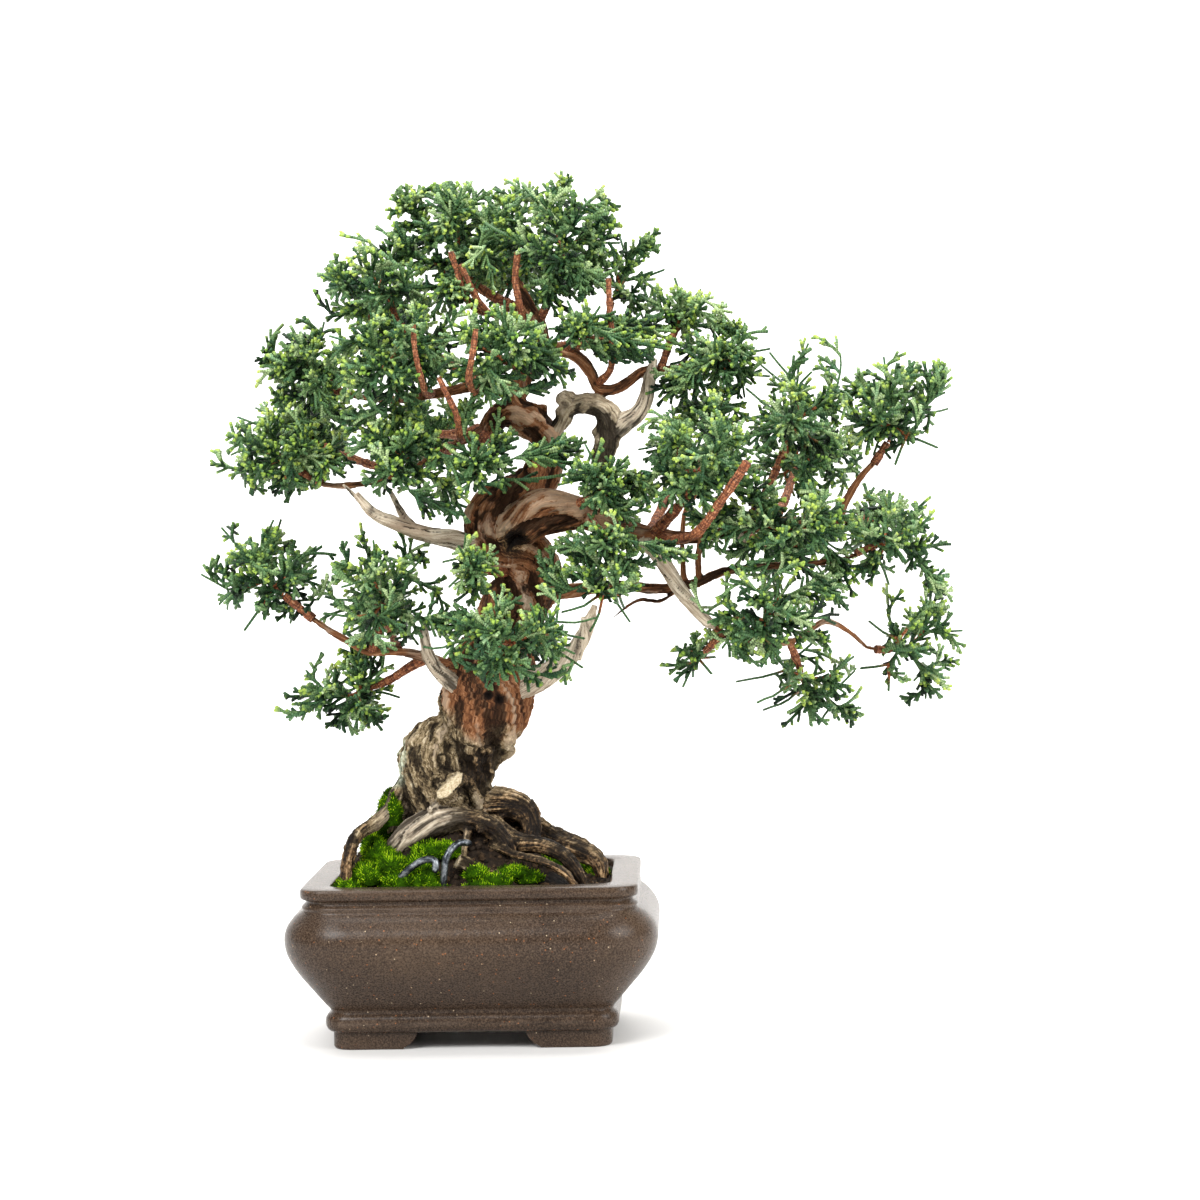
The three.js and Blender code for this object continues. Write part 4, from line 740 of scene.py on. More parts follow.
# More room for the shoots of some sprays, so that the masses run together: middle and
# half sizes, in millimetres of the finished depth
MORE_ROOM = {
    "crown_right": [
        ((50, 5, 293), (6, 6, 5)), ((43, -10, 267), (10, 9, 8)), ((-9, 5, 302), (8, 6, 4)),
        ((36, -2, 304), (6, 5, 3)), ((54, -2, 290), (4, 5, 6)), ((31, -6, 262), (6, 6, 6)),
        ((49, -4, 272), (5, 7, 9)),
    ],
    "gap_high": [
        ((56, -10, 248), (9, 9, 9)), ((69, 0, 250), (7, 7, 7)), ((64, -16, 243), (11, 7, 4)),
    ],
    "reach_right": [
        ((81, 0, 247), (9, 7, 5)), ((76, -5, 233), (10, 9, 6)), ((75, -4, 227), (10, 7, 4)),
    ],
    "bend_front": [((60, -26, 193), (7, 8, 11)), ((64, -28, 191), (7, 7, 7))],
    "inner_left": [((-4, -24, 192), (8, 9, 11))],
    "crown_left": [
        ((0, -14, 265), (10, 9, 9)), ((-25, 0, 289), (6, 6, 8)), ((-11, 5, 300), (9, 7, 6)),
        ((-23, 4, 303), (5, 5, 4)), ((-9, 4, 304), (7, 5, 3)), ((-7, -6, 283), (5, 5, 5)),
        ((-9, -4, 261), (6, 6, 6)),
    ],
    "hook_front": [
        ((3, -20, 226), (9, 7, 5)), ((16, -16, 214), (7, 6, 5)), ((39, -22, 208), (6, 7, 8)),
    ],
    "mid_left": [((-8, -22, 236), (6, 6, 5)), ((-40, -14, 223), (8, 7, 6))],
    "mid_front": [
        ((31, -16, 237), (8, 7, 6)), ((9, -26, 255), (6, 5, 4)), ((13, -26, 227), (6, 5, 4)),
        ((34, -26, 235), (7, 6, 5)),
    ],
    "low_left": [
        ((-47, -10, 205), (10, 8, 5)), ((-63, -4, 198), (8, 6, 4)), ((-56, -10, 200), (13, 8, 4)),
    ],
    "outer_left": [
        ((-67, 0, 242), (6, 9, 12)), ((-63, 0, 254), (5, 5, 5)), ((-72, 0, 244), (4, 5, 6)),
        ((-43, -8, 224), (6, 6, 6)),
    ],
    "bend_low": [((33, -18, 173), (8, 8, 8)), ((34, -28, 166), (6, 5, 4))],
    "left_low": [((-6, -24, 148), (7, 8, 6))],
    "bend_mid": [((59, -24, 169), (8, 7, 7)), ((78, -32, 171), (8, 6, 3))],
    "right_low": [
        ((81, -18, 185), (6, 6, 6)), ((89, -16, 172), (6, 5, 4)), ((132, -8, 159), (8, 8, 8)),
    ],
    "right_end": [((169, 0, 156), (5, 6, 6)), ((140, -4, 162), (6, 5, 4))],
    "right_high": [
        ((167, 6, 235), (7, 6, 4)), ((138, 6, 230), (4, 4, 5)), ((167, 6, 237), (8, 6, 4)),
        ((161, 6, 227), (4, 4, 6)), ((141, 6, 210), (9, 6, 5)),
    ],
    "drop_front": [
        ((100, -18, 137), (7, 6, 4)), ((87, -16, 146), (5, 5, 4)), ((128, -24, 153), (10, 7, 4)),
        ((126, -24, 141), (4, 5, 6)), ((104, -24, 134), (6, 6, 5)),
    ],
    "left_under": [
        ((-44, -4, 135), (10, 8, 5)), ((-38, 0, 114), (8, 6, 4)), ((-37, -2, 139), (10, 7, 3)),
        ((-65, -2, 118), (6, 6, 6)), ((-42, -2, 110), (8, 6, 3)),
    ],
    "front_low": [((-6, -28, 149), (5, 8, 8))],
    "upper_right": [((68, 10, 284), (4, 5, 6))],
    "upper_left": [((-50, -8, 270), (4, 5, 6)), ((-44, -8, 259), (6, 5, 4))],
    "reach_up": [((96, 6, 251), (9, 6, 4))],
    "trunk_front": [((2, -30, 158), (6, 5, 5))],
    "far_left": [
        ((-87, -6, 169), (5, 6, 6)), ((-68, -6, 152), (7, 5, 4)), ((-65, -6, 175), (4, 5, 6)),
    ],
    "right_mid": [((123, -4, 242), (4, 5, 6)), ((124, -4, 188), (9, 7, 4))],
    "right_inner": [((103, -26, 196), (7, 6, 5))],
    "drop_right": [
        ((170, 10, 150), (6, 5, 5)), ((167, 10, 121), (7, 6, 5)), ((164, 10, 135), (6, 4, 4)),
    ],
    "drop_tip": [((85, -10, 141), (5, 4, 4))],
    "drop_low": [((125, -4, 118), (6, 6, 5)), ((134, -4, 111), (7, 5, 3))],
}
# How full a spray's own room is, where it isn't 1
FULLNESS = {
    "upper_right": 0.38, "upper_left": 0.9, "right_mid": 0.9, "right_end": 0.75, "drop_front": 0.7,
    "drop_right": 0.5, "drop_low": 0.5, "drop_tip": 0.4, "far_left": 0.75, "left_low": 0.75,
    "left_under": 0.7, "back_right_mid": 0.7, "back_right_low": 0.5, "back_right_out": 0.6,
    "back_left_low": 0.7, "bend_low": 0.8,
}
# Pruned twigs inside the crown, each from its branch to its pale cut end
PRUNED = [
    [[20, 5, 262, 1.5], [8, -6, 258, 1.3], [2.5, -12, 261, 1.2], [-0.8, -13, 270, 1.1],
     [-3.8, -12, 279.5, 1.1]],
    [[22, 4, 258, 1.4], [11, -8, 257, 1.2], [6, -14, 261.5, 1.2], [1.9, -14, 270, 1.1],
     [-0.4, -14, 275, 1]],
    [[25, 3, 250, 1.6], [21, -8, 254, 1.3], [20.4, -12, 259.5, 1.2], [18.9, -12, 269.5, 1.2],
     [19.9, -12, 279, 1.2]],
    [[-12, -5, 230, 1.5], [-12, -28, 229, 1.2], [-12.2, -44, 233, 1.1], [-14, -48, 243, 1],
     [-14.5, -48, 252, 1]],
    [[8, -1, 232, 1.6], [5, -28, 229, 1.2], [4.2, -46, 234, 1.2], [6, -51, 242, 1.1],
     [7.3, -51, 250, 1.1]],
    [[47, -4, 232, 1.5], [52, -12, 237, 1.3], [53, -15, 245, 1.2], [52.2, -15, 258, 1.1],
     [52, -15, 269, 1]],
    [[66, -10, 177.5, 2], [74, -22, 176.5, 1.7], [81.8, -34, 179, 1.6], [91, -42, 191, 1.6],
     [99.4, -46, 203, 1.6]],
    [[53, -13, 243, 1.2], [54, -14, 246.5, 1.1], [47, -14, 247.5, 1.1], [40, -14, 250, 1]],
    [[-2, 3, 214, 1.5], [-1, -25, 214, 1.2], [-1, -41, 222, 1.1], [-4, -45, 229, 1],
     [-6.3, -45, 234, 1]],
]
# The wire's middle line, from the hook at its left end to its right end
TIE_WIRE = [
    [-11.5, -38.5, 62], [-11.5, -38, 66], [-15, -36.5, 66.5], [-25, -34, 59], [-30.5, -28, 46],
    [-32, -17, 20], [-31.8, -17, 6.5], [-30, -17, 3.9], [-24, -17, 3.9], [-22.2, -17, 6.5],
    [-22, -17, 20], [-15, -29, 42], [-9.5, -34.5, 56], [-7.5, -34.5, 67.5], [-3.5, -31, 71.5],
    [0.5, -28, 71],
]

CROWN_DEPTH = 1.3
SPRAY_DEPTH = 1.1
THINNER, SLIM = 0.55, 3.5  # branches slimmer than SLIM lose that much of their radius
for route in DEADWOOD + BRANCHES + [spray[3] for spray in SPRAYS]:
    for station in route:
        station[1] *= CROWN_DEPTH
for route in BRANCHES:
    for station in route:
        station[3] -= THINNER * (station[3] < SLIM)
SPRAYS = [
    (name, np.array(centre) * (1, CROWN_DEPTH, 1), np.array(half) * (1, SPRAY_DEPTH, 1), twig)
    for name, centre, half, twig in SPRAYS
]


# Trunk, roots, deadwood and branches

LIVE, DEAD, ROOT, GREY = range(4)

# Strips of bare wood: from, to, half width
SHARI = [
    ((-16, -11, 134), (-12.5, -14, 125.5), 1.7), ((-12.5, -14, 125.5), (-9, -16, 118.5), 1.5),
    ((-9, -16, 118.5), (-3, -17.5, 111.5), 1.3), ((-3, -17.5, 111.5), (3, -17.5, 107), 1.0),
    ((8, -14, 192), (26, -15, 199), 1.2), ((-9, -14, 156), (-4, -16, 172), 2.2),
]
# Other marks: middle and reach, and for hollows how deep
LICHEN = [((-28, -7, 101), 9), ((-28, -9, 94), 6)]
HOLLOWS = [
    ((17, -14, 175.5), 6.5, 5.0), ((6.8, -18.5, 122.3), 2.6, 1.8), ((11.4, -18.5, 120.8), 2.8, 2.4),
    ((19.2, -14.5, 117), 2.0, 1.2), ((-1, -13, 186), 1.8, 1.0), ((5, -15, 94), 6.0, 2.6),
    ((12, -12, 150), 3.5, 1.8), ((0, -16, 103), 5.0, 2.2), ((10, -13, 86), 5.0, 2.0),
]
BURLS = [
    ((23, 0, 217), 17), ((47, -5, 217), 14), ((36, -4, 224), 8), ((9, -8, 181), 15),
    ((19, -6, 160), 12),
]
# Eyes in the bark, painted near-black as painted shade inside them: middle and reach
EYES = [
    ((6.8, -18, 122.3), 2.3), ((11.4, -17.5, 120.8), 2.7), ((19.2, -13.5, 117), 2.0),
    ((17, -13, 175.5), 4.5),
]
# Painted shade, given the dark colour: a fold of the lower trunk, and the knee's hollow. Middle and
# reach
PAINTED_FOLD_SHADE = ((7, -14, 93), 15)
KNEE_HOLLOW_SHADE = ((17, -14, 175.5), 9)
DRY_ARCH = ((-17, -18, 77), 17)
PALE_ARCH = ((-18, -20, 76), 19)
CUT_ROOT = (-5.6, -31.2, 65.8)

# The oval face of the cut stub, with the direction it is narrow in
STUB_FACE = np.array([-7.5, -19.3, 91.2])
STUB_NORMAL = unit(np.array([-1.0, -6.2, 2.4]))
STUB_NARROW = np.array([-0.656, 0.0, 0.755])
STUB_HALF_LENGTH, STUB_HALF_WIDTH = 8.5, 4

OLD_BARK_TOP = 107.5  # above it the bark is brown; the line rises to the left
SMOOTH_TOP = (128, 142)  # the brown bark is calm below and peels above


def nearest_limbs(points, limbs, chunk=4000):
    """What the nearest limb of each point has, where the point is nearest to it"""
    keys = ("place", "normal", "side", "travel", "radius", "twist", "kind")
    samples = {key: [] for key in keys}
    for number, (route, kind, twist) in enumerate(limbs):
        count = len(route.points)
        travel = route.travel + 190.0 * number  # so that no two limbs share their grain
        values = (route.points, route.normals, route.sides, travel, route.radii)
        for key, value in zip(keys, (*values, np.full(count, twist), np.full(count, kind))):
            samples[key].append(value)
    samples = {key: np.concatenate(value) for key, value in samples.items()}
    nearest = np.empty(len(points), np.int64)
    for start in range(0, len(points), chunk):
        part = points[start : start + chunk]
        gap = np.linalg.norm(part[:, None] - samples["place"][None], axis=2)
        nearest[start : start + chunk] = (gap - samples["radius"][None]).argmin(axis=1)
    return {key: value[nearest] for key, value in samples.items()}


def grain_of(points, found):
    """Places across and along each point's limb, turned with its grain"""
    away = points - found["place"]
    across = np.einsum("ij,ij->i", away, found["normal"])
    over = np.einsum("ij,ij->i", away, found["side"])
    turn = found["twist"] * found["travel"]
    return np.stack([
        across * np.cos(turn) - over * np.sin(turn),
        across * np.sin(turn) + over * np.cos(turn),
        found["travel"],
    ], axis=1)


def wood_kinds(points, normals, kind):
    """How much of each kind of surface each point has; dark is partly wet roots and partly painted
    shade
    """
    height, up = points[:, 2], normals[:, 2]
    wobble = fractal(points * 0.09, 5, 3)
    bare = np.where(kind == DEAD, 1.0, np.where(kind == GREY, 0.35, 0.0))
    root = np.isin(kind, (ROOT, GREY)).astype(float)
    edge = OLD_BARK_TOP + 1.1 * np.clip(2 - points[:, 0], 0, 20)
    aged = soft(height - edge + 4 * wobble, 4, -4) * (1 - bare)
    aged = np.maximum(aged, root)

    dark = (kind == ROOT) * soft(wobble + 0.4 * noise(points * 0.3, 8), -0.6, 0.0)
    dark = np.maximum(dark, spot(points, *PAINTED_FOLD_SHADE) * 0.9 * (kind == LIVE))
    dark = np.maximum(dark, (kind == ROOT) * soft(points[:, 0], 4, 14))
    # Painted light: faces turned upward keep less of the dark colour
    dark *= 1 - 0.45 * soft(up, 0.2, 0.9)
    dark *= 1 - spot(points, *DRY_ARCH)
    dark = np.maximum(dark, spot(points, *KNEE_HOLLOW_SHADE))

    # Faces turned downward stay out of the pale arch and keep the darker colour: painted shade
    # under the arch
    arch = spot(points, *PALE_ARCH) * soft(up, -0.8, -0.1) * (kind == ROOT)
    bare = np.maximum(bare, 0.92 * arch)
    for a, b, width in SHARI:
        a, b = np.array(a), np.array(b)
        part = np.clip((points - a) @ (b - a) / np.dot(b - a, b - a), 0, 1)
        gap = np.linalg.norm(points - a - part[:, None] * (b - a), axis=1)
        bare = np.maximum(bare, 1 - soft(gap + 1.2 * wobble, width * 0.7, width * 1.25))

    cut = soft((points - STUB_FACE) @ STUB_NORMAL, -1.2, -0.5)
    cut = cut * soft(normals @ STUB_NORMAL, 0.5, 0.75)
    cut *= distance(points, STUB_FACE) < STUB_HALF_LENGTH
    cut *= np.abs((points - STUB_FACE) @ STUB_NARROW) < STUB_HALF_WIDTH
    cut = np.maximum(cut, soft(distance(points, CUT_ROOT), 3.6, 2.8) * 0.7)
    hole = np.maximum.reduce([1 - soft(distance(points, c), r * 0.55, r) for c, r in EYES])
    return {"aged": aged, "dark": dark, "bare": bare, "lichen": spots(points, LICHEN),
            "cut": cut, "hole": hole * (1 - bare)}


def wood_relief(points, grain, radius, kinds):
    """How far each point stands out, the same from -1 to 1, and where the bark peels"""
    height, aged, bare = points[:, 2], kinds["aged"], kinds["bare"]
    thick = np.clip(radius / 12, 0.12, 1.1)
    warp = (1.1 * fractal(points * 0.16, 81, 2))[:, None] * (1, 1, 2.5)

    fat = fractal(grain * (0.16, 0.16, 0.022), 21, 3) * 1.4 * thick
    fat = fat + 1.7 * spots(points, BURLS) * fractal(points * 0.2, 88, 2)
    lumps = fractal(points * 0.33, 51, 3)
    furrow = ridges((grain + 0.6 * warp) * (0.95, 0.95, 0.13), 41)

    sheet = fractal((grain + warp) * (0.2, 0.2, 0.035), 25, 3)
    layer = soft(sheet, 0.02, 0.1)
    calm = 0.3 + 0.7 * soft(height, *SMOOTH_TOP)
    sheets = (layer + 0.8 * soft(sheet, -0.4, -0.33) - 1.1) * 0.62 * thick**0.6 * calm
    strips = ridges((grain + warp) * (0.42, 0.42, 0.06), 31)
    live = fat + sheets - strips**2 * 0.8 * thick**0.6
    live = live - furrow**2 * 0.34 * thick**0.3 + 0.25 * lumps * thick**0.5

    flow = ridges((grain + 1.6 * warp) * (0.2, 0.2, 0.024), 91)
    vein = ridges((grain + warp) * (0.5, 0.5, 0.05), 95)
    small = plates((grain + warp) * (0.5, 0.5, 0.2), 97)
    old = 1.3 * fat + 0.5 * lumps * thick**0.5
    old = old - 1.25 * flow**2 * thick**0.6 - 0.7 * vein**2 * thick**0.4
    old = old - 0.35 * soft(small, 0.14, 0.0) * thick**0.3 - furrow**2 * 0.3
    old = old + 0.2 * noise(points * 1.1, 53)

    fine = ridges((grain + 0.3 * warp) * (1.3, 1.3, 0.05), 61)
    crack = ridges((grain + 0.5 * warp) * (0.5, 0.5, 0.035), 71) ** 3
    dry = 0.5 * fat - 0.22 * fine - 0.85 * crack * thick**0.4 + 0.12 * lumps

    depth = (live * (1 - aged) + old * aged) * (1 - bare) + dry * bare
    depth = depth * (1 - kinds["cut"])
    for centre, reach, sink in HOLLOWS:
        gap = distance(points, centre)
        depth = depth - sink * (1 - soft(gap, 0, reach)) + 0.5 * spot(points, centre, reach * 1.5)
        depth = np.where(gap < reach * 0.5, depth - 0.3, depth)
    return depth, np.clip(depth / (0.45 + 0.7 * thick), -1, 1), layer


def wood_surface(points, normals, limbs):
    """Points with their relief, and the fields that the paint blends by"""
    found = nearest_limbs(points, limbs)
    grain = grain_of(points, found)
    kinds = wood_kinds(points, normals, found["kind"])
    depth, relief, layer = wood_relief(points, grain, found["radius"], kinds)
    peeling = 0.7 * layer * soft(points[:, 2], 130, 140)
    return points + normals * depth[:, None], {
        "grain": grain, "relief": relief, "layer": peeling, **kinds}


def make_wood(material):
    """Two skins: the trunk with its roots, and the limbs"""
    # Each limb: route, kind, twist, sides, lobe
    low = [
        (Route(TRUNK, 1.5), LIVE, 0.055, 30, 0.1),
        (Route(LEFT_LOBE, 1.5), LIVE, 0.04, 24, 0.09),
        (Route(CUT_STUB, 1.5), LIVE, 0.0, 24, 0.1),
        *[(Route(root, 1.2), ROOT, 0.03, 14, 0.1) for root in ROOTS + ROOT_STUBS],
    ]
    high = [
        (Route(UPPER_TRUNK, 1.2), LIVE, 0.06, 16, 0.1),
        *[
            (Route(jin, 1.0), GREY if jin in WEATHERED else DEAD, 0.05, 14, 0.12)
            for jin in DEADWOOD
        ],
        *[(Route(branch, 1.0), LIVE, 0.06, 12, 0.08) for branch in BRANCHES],
    ]
    low_tubes, high_tubes = (
        [tube(route, sides, lobe, twist) for route, _, twist, sides, lobe in limbs]
        for limbs in (low, high)
    )
    stub = low_tubes[2][0]
    stub -= 0.5 * ((stub - STUB_FACE) @ STUB_NARROW)[:, None] * STUB_NARROW
    for name, limbs, tubes, voxel, stands_for in (
        ("trunk_and_roots", low, low_tubes, 0.74, ["tree"]),
        ("limbs", high, high_tubes, 0.6, []),
    ):
        points, normals, faces = remeshed(*joined(tubes), voxel)
        points, fields = wood_surface(points, normals, [limb[:3] for limb in limbs])
        make_piece(name, points, faces, material, "bark", stands_for, fields)


def make_twigs(material, sides=10, scale_length=1.5):
    """Twigs with rows of overlapping scales"""
    shapes, grains, reliefs = [], [], []
    angle = angles(sides)
    for number, twig in enumerate([spray[3] for spray in SPRAYS] + PRUNED):
        route = Route(twig, 0.42)
        route.radii = route.radii * (1 + 0.16 * noise(route.points * 0.45, 3))
        row = route.travel / scale_length * 2
        every_other = np.floor(row).astype(int) % 2
        rise = (row % 1.0)[:, None]
        leaf = np.cos(2 * (angle[None] + (every_other * math.pi / 2)[:, None] + number))
        reach = route.radii[:, None] * (0.92 + 0.2 * rise * (0.6 + 0.4 * leaf))
        shapes.append(tube(route, sides, reach=reach))
        around = np.stack(np.broadcast_arrays(
            3 * np.cos(angle)[None], 3 * np.sin(angle)[None], route.travel[:, None] + 60 * number,
        ), axis=-1)
        grains.append(np.vstack([around.reshape(-1, 3), [[0, 0, 0], [0, 0, 0]]]))
        reliefs.append(np.concatenate([(rise * (0.7 + 0.3 * leaf)).ravel(), [0.5, 0.5]]))
    fields = {"grain": np.vstack(grains), "relief": np.concatenate(reliefs)}
    make_piece("twigs", *joined(shapes), material, "bark", (), fields)


# Foliage

SHOOT_COUNT = 4200
SHOOT_RADIUS, SHOOT_STEP, MOST_STEPS = 0.78, 2.25, 8
SIDE_RADIUS, SIDE_STEP, LONGEST_SIDE = 0.76, 2.1, 6.4
LONE_SHARE = 0.09  # shoots that stand out of their spray, with fewer side shoots
FORK_SPACE = 10.0  # how far from the core a shoot ends, where it can
JOINT_SIZE = 1.72  # points of a core that are nearer than this belong to one joint
CORE_RADIUS = 0.62


def shoots_mesh(chains, sides=3):
    """Pointed tubes along many short chains of (points, radii, fields for each point)"""
    groups = {}
    for chain in chains:
        groups.setdefault(len(chain[0]), []).append(chain)
    all_points, all_faces, all_fields, offset = [], [], [], 0
    angle = angles(sides)
    for count, group in sorted(groups.items()):
        route, radii, data = (np.array([chain[k] for chain in group]) for k in range(3))
        along = unit(np.gradient(route, axis=1))
        helper = np.where(np.abs(along[:, 0, 1:2]) < 0.8, ACROSS, SIDEWAYS)
        normal = unit(np.cross(helper, along[:, 0]))
        rings = []
        for i in range(count - 1):
            ahead = np.sum(normal * along[:, i], axis=1, keepdims=True)
            normal = unit(normal - along[:, i] * ahead)
            side = np.cross(along[:, i], normal)
            way = (
                normal[:, None] * np.cos(angle)[None, :, None]
                + side[:, None] * np.sin(angle)[None, :, None]
            )
            rings.append(route[:, i, None] + radii[:, i, None, None] * way)
        rings = np.stack(rings, axis=1).reshape(len(group), -1, 3)
        points = np.concatenate([rings, route[:, -1:]], axis=1)
        values = np.concatenate([np.repeat(data[:, :-1], sides, axis=1), data[:, -1:]], axis=1)
        size = points.shape[1]
        top = (count - 2) * sides
        tips = [(top + j, top + (j + 1) % sides, size - 1) for j in range(sides)]
        starts = offset + size * np.arange(len(group))
        for shape in (bands(count - 1, sides), tips):
            if shape:
                faces = starts[:, None, None] + np.array(shape)[None]
                all_faces.extend(map(tuple, faces.reshape(-1, len(shape[0])).tolist()))
        all_points.append(points.reshape(-1, 3))
        all_fields.append(values.reshape(-1, data.shape[2]))
        offset += size * len(group)
    return np.vstack(all_points), all_faces, np.vstack(all_fields)


def spray_core(node, start):
    """Joints of a spray's core and the joint before each, from the twig outward"""
    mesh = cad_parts[node].data
    points = (read_vectors(mesh.vertices) - ORIGIN) * 1000
    ends = np.empty(len(mesh.edges) * 2, np.int32)
    mesh.edges.foreach_get("vertices", ends)
    near = np.linalg.norm(points[:, None] - points[None], axis=2) < JOINT_SIZE
    label = np.full(len(points), -1)
    count = 0
    for i in range(len(points)):
        if label[i] >= 0:
            continue
        stack = [i]
        label[i] = count
        while stack:
            for k in np.flatnonzero(near[stack.pop()] & (label < 0)):
                label[k] = count
                stack.append(k)
        count += 1
    clusters = (points[label == k].round(3) for k in range(count))
    joints = np.array([np.unique(cluster, axis=0).mean(axis=0) for cluster in clusters])
    links = {k: set() for k in range(count)}
    for a, b in label[ends.reshape(-1, 2)]:
        if a != b:
            links[a].add(b)
            links[b].add(a)
    first = int(np.linalg.norm(joints - start, axis=1).argmin())
    before, queue = {first: first}, [first]
    for joint in queue:
        for other in sorted(links[joint]):
            if other not in before:
                before[other] = joint
                queue.append(other)
    return joints, before, queue


def within_one(value):
    return min(1, max(0, value))


class Spray:
    """Forked scale shoots that fill the room of one spray"""

    def __init__(self, number, spray):
        self.name, centre, half, twig = spray
        self.seed = number
        self.random = random.Random(400 + number)
        self.rooms = [(centre, half, FULLNESS.get(self.name, 1.0))]
        for centre, half in MORE_ROOM.get(self.name, ()):
            self.rooms.append((np.array(centre, float), np.array(half, float), 1.0))
        self.sizes = [full * np.prod(half) ** 0.72 for _, half, full in self.rooms]
        self.start = np.array(twig[-1][:3])
        self.chains = []

    def jitter(self, size):
        return np.array([self.random.gauss(0, size) for _ in range(3)])

    def shoot(self, points, radius, shade, travel, fresh):
        """One shoot: slim at its foot, blunt at its tip"""
        count = len(points)
        radii = radius * (1.0 - 0.12 * np.linspace(0, 1, count))
        radii[-2] *= 1.12
        tip = np.zeros(count)
        tip[-1] = tip[-2] = fresh
        run = travel + travelled(points)
        data = np.stack([tip, np.full(count, shade), run, np.ones(count)], axis=1)
        self.chains.append((points, radii, data))

    def side_shoots(self, points, rank, radius, shade, fresh, often):
        """Shoots off a shoot of rank 0, all round it, and off those of rank 1, in one plane"""
        uniform = self.random.uniform
        length = travelled(points)[-1]
        turn = uniform(0, 6.28)
        count = len(points)
        for i in range(1, count - 1):
            along = unit(points[i + 1] - points[i - 1])
            across = unit(np.cross(along, UP if abs(along[2]) < 0.9 else SIDEWAYS))
            over = np.cross(along, across)
            for _ in range(1 if rank or self.random.random() < 0.75 else 2):
                turn += 2.4 + uniform(-0.4, 0.4) if rank == 0 else 3.14 + uniform(-0.5, 0.5)
                lean = math.radians(uniform(34, 52))
                out = across * math.cos(turn) + over * math.sin(turn)
                way = along * math.cos(lean) + out * math.sin(lean)
                if rank == 0:
                    left = 1 - i / (count - 1)
                    reach = min((1.9 + 0.34 * length * left) * uniform(0.75, 1.2), LONGEST_SIDE)
                else:
                    reach = uniform(1.4, 2.5)
                if self.random.random() > often:
                    continue
                steps = max(1, round(reach / SIDE_STEP))
                line = [points[i]]
                for _ in range(steps):
                    way = unit(way + along * 0.12 + self.jitter(0.07))
                    line.append(line[-1] + way * reach / steps)
                line = np.array([*line, line[-1] + way * 0.35])
                own = within_one(shade + uniform(-0.26, 0.26))
                self.shoot(line, radius * 0.93, own, uniform(0, 2), fresh * uniform(0.2, 1.3))
                if rank == 0 and steps >= 2:
                    self.side_shoots(line[:-1], 1, radius * 0.95, own, fresh, 0.55)

    def grow(self, share):
        """The core's own limbs, then shoots from them into each room"""
        joints, before, queue = spray_core("spray_" + self.name, self.start)
        depth = {queue[0]: 0.0}
        for joint in queue[1:]:
            span = np.linalg.norm(joints[joint] - joints[before[joint]])
            depth[joint] = depth[before[joint]] + span
        most = max(depth.values())
        places, ways = [], []
        for joint in queue[1:]:
            a, b = joints[before[joint]], joints[joint]
            length = np.linalg.norm(b - a)
            if length < 0.5:
                continue
            ends = np.array([depth[before[joint]], depth[joint]]) / most
            line = np.array([a, (a + b) / 2 + self.jitter(0.15), b, b + (b - a) / length * 0.4])
            ages = np.linspace(*ends, 4) * 0.9 + self.random.uniform(-0.05, 0.1)
            run = depth[joint] + np.linspace(0, length, 4)
            data = np.stack([np.zeros(4), np.full(4, 0.4), run, ages], axis=1)
            self.chains.append((line, np.linspace(*(1.25 - 0.5 * ends), 4) * CORE_RADIUS, data))
            for w in np.arange(0.15, 1.0, 1.6 / length):
                places.append(a + (b - a) * w)
                ways.append((b - a) / length)
        places, ways = np.array(places), np.array(ways)
        for (centre, half, _), size in zip(self.rooms, self.sizes):
            self.fill(places, ways, centre, half, max(6, round(share * size)))

    def fill(self, places, ways, centre, half, count):
        """Shoots from the core to places spread through a room"""
        ups = 1 - 2 * (np.arange(count) + 0.5) / count
        flats = np.sqrt(1 - ups * ups)
        turns = np.arange(count) * GOLDEN_ANGLE
        heads = np.column_stack([flats * np.cos(turns), flats * np.sin(turns), ups])
        uneven = 1 + 0.24 * noise(heads * 1.9 + self.seed * 7.3, 11)
        for head, swell in zip(heads, uneven):
            far = 0.34 + 0.74 * self.random.random() ** 0.6
            lone = self.random.random() < LONE_SHARE
            if lone:
                far += self.random.uniform(0.05, 0.25)
            goal = centre + half * unit(head + self.jitter(0.06)) * min(far * swell, 1.3)
            gap = goal - places
            space = np.linalg.norm(gap, axis=1)
            ahead = np.einsum("ij,ij->i", gap, ways) / np.maximum(space, 1e-6)
            k = int((np.abs(space - FORK_SPACE) - 3.2 * ahead).argmin())
            base, length = places[k], max(space[k], 3.0)
            lead = unit(ways[k] * 0.6 + unit(gap[k]) + self.jitter(0.12))
            control = base + lead * length * 0.45
            steps = max(2, min(MOST_STEPS, round(length / SHOOT_STEP)))
            w = np.linspace(0, 1, steps + 1)[:, None]
            line = base * (1 - w) ** 2 + 2 * control * w * (1 - w) + goal * w**2
            line = np.vstack([line, goal + unit(goal - control) * 0.45])
            height = (goal[2] - centre[2]) / half[2]
            gauss = self.random.gauss
            # shade is painted light and shade, with a random part: shoots high in their room and
            # far from the core are lighter, those deep inside darker
            shade = within_one(0.25 + 0.15 * height + 0.28 * far + gauss(0, 0.2))
            fresh = within_one(0.18 + 0.25 * height + 0.3 * far + gauss(0, 0.32))
            self.shoot(line, SHOOT_RADIUS, shade, 0, fresh)
            self.side_shoots(line[:-1], 0, SIDE_RADIUS, shade, fresh, 0.65 if lone else 0.95)


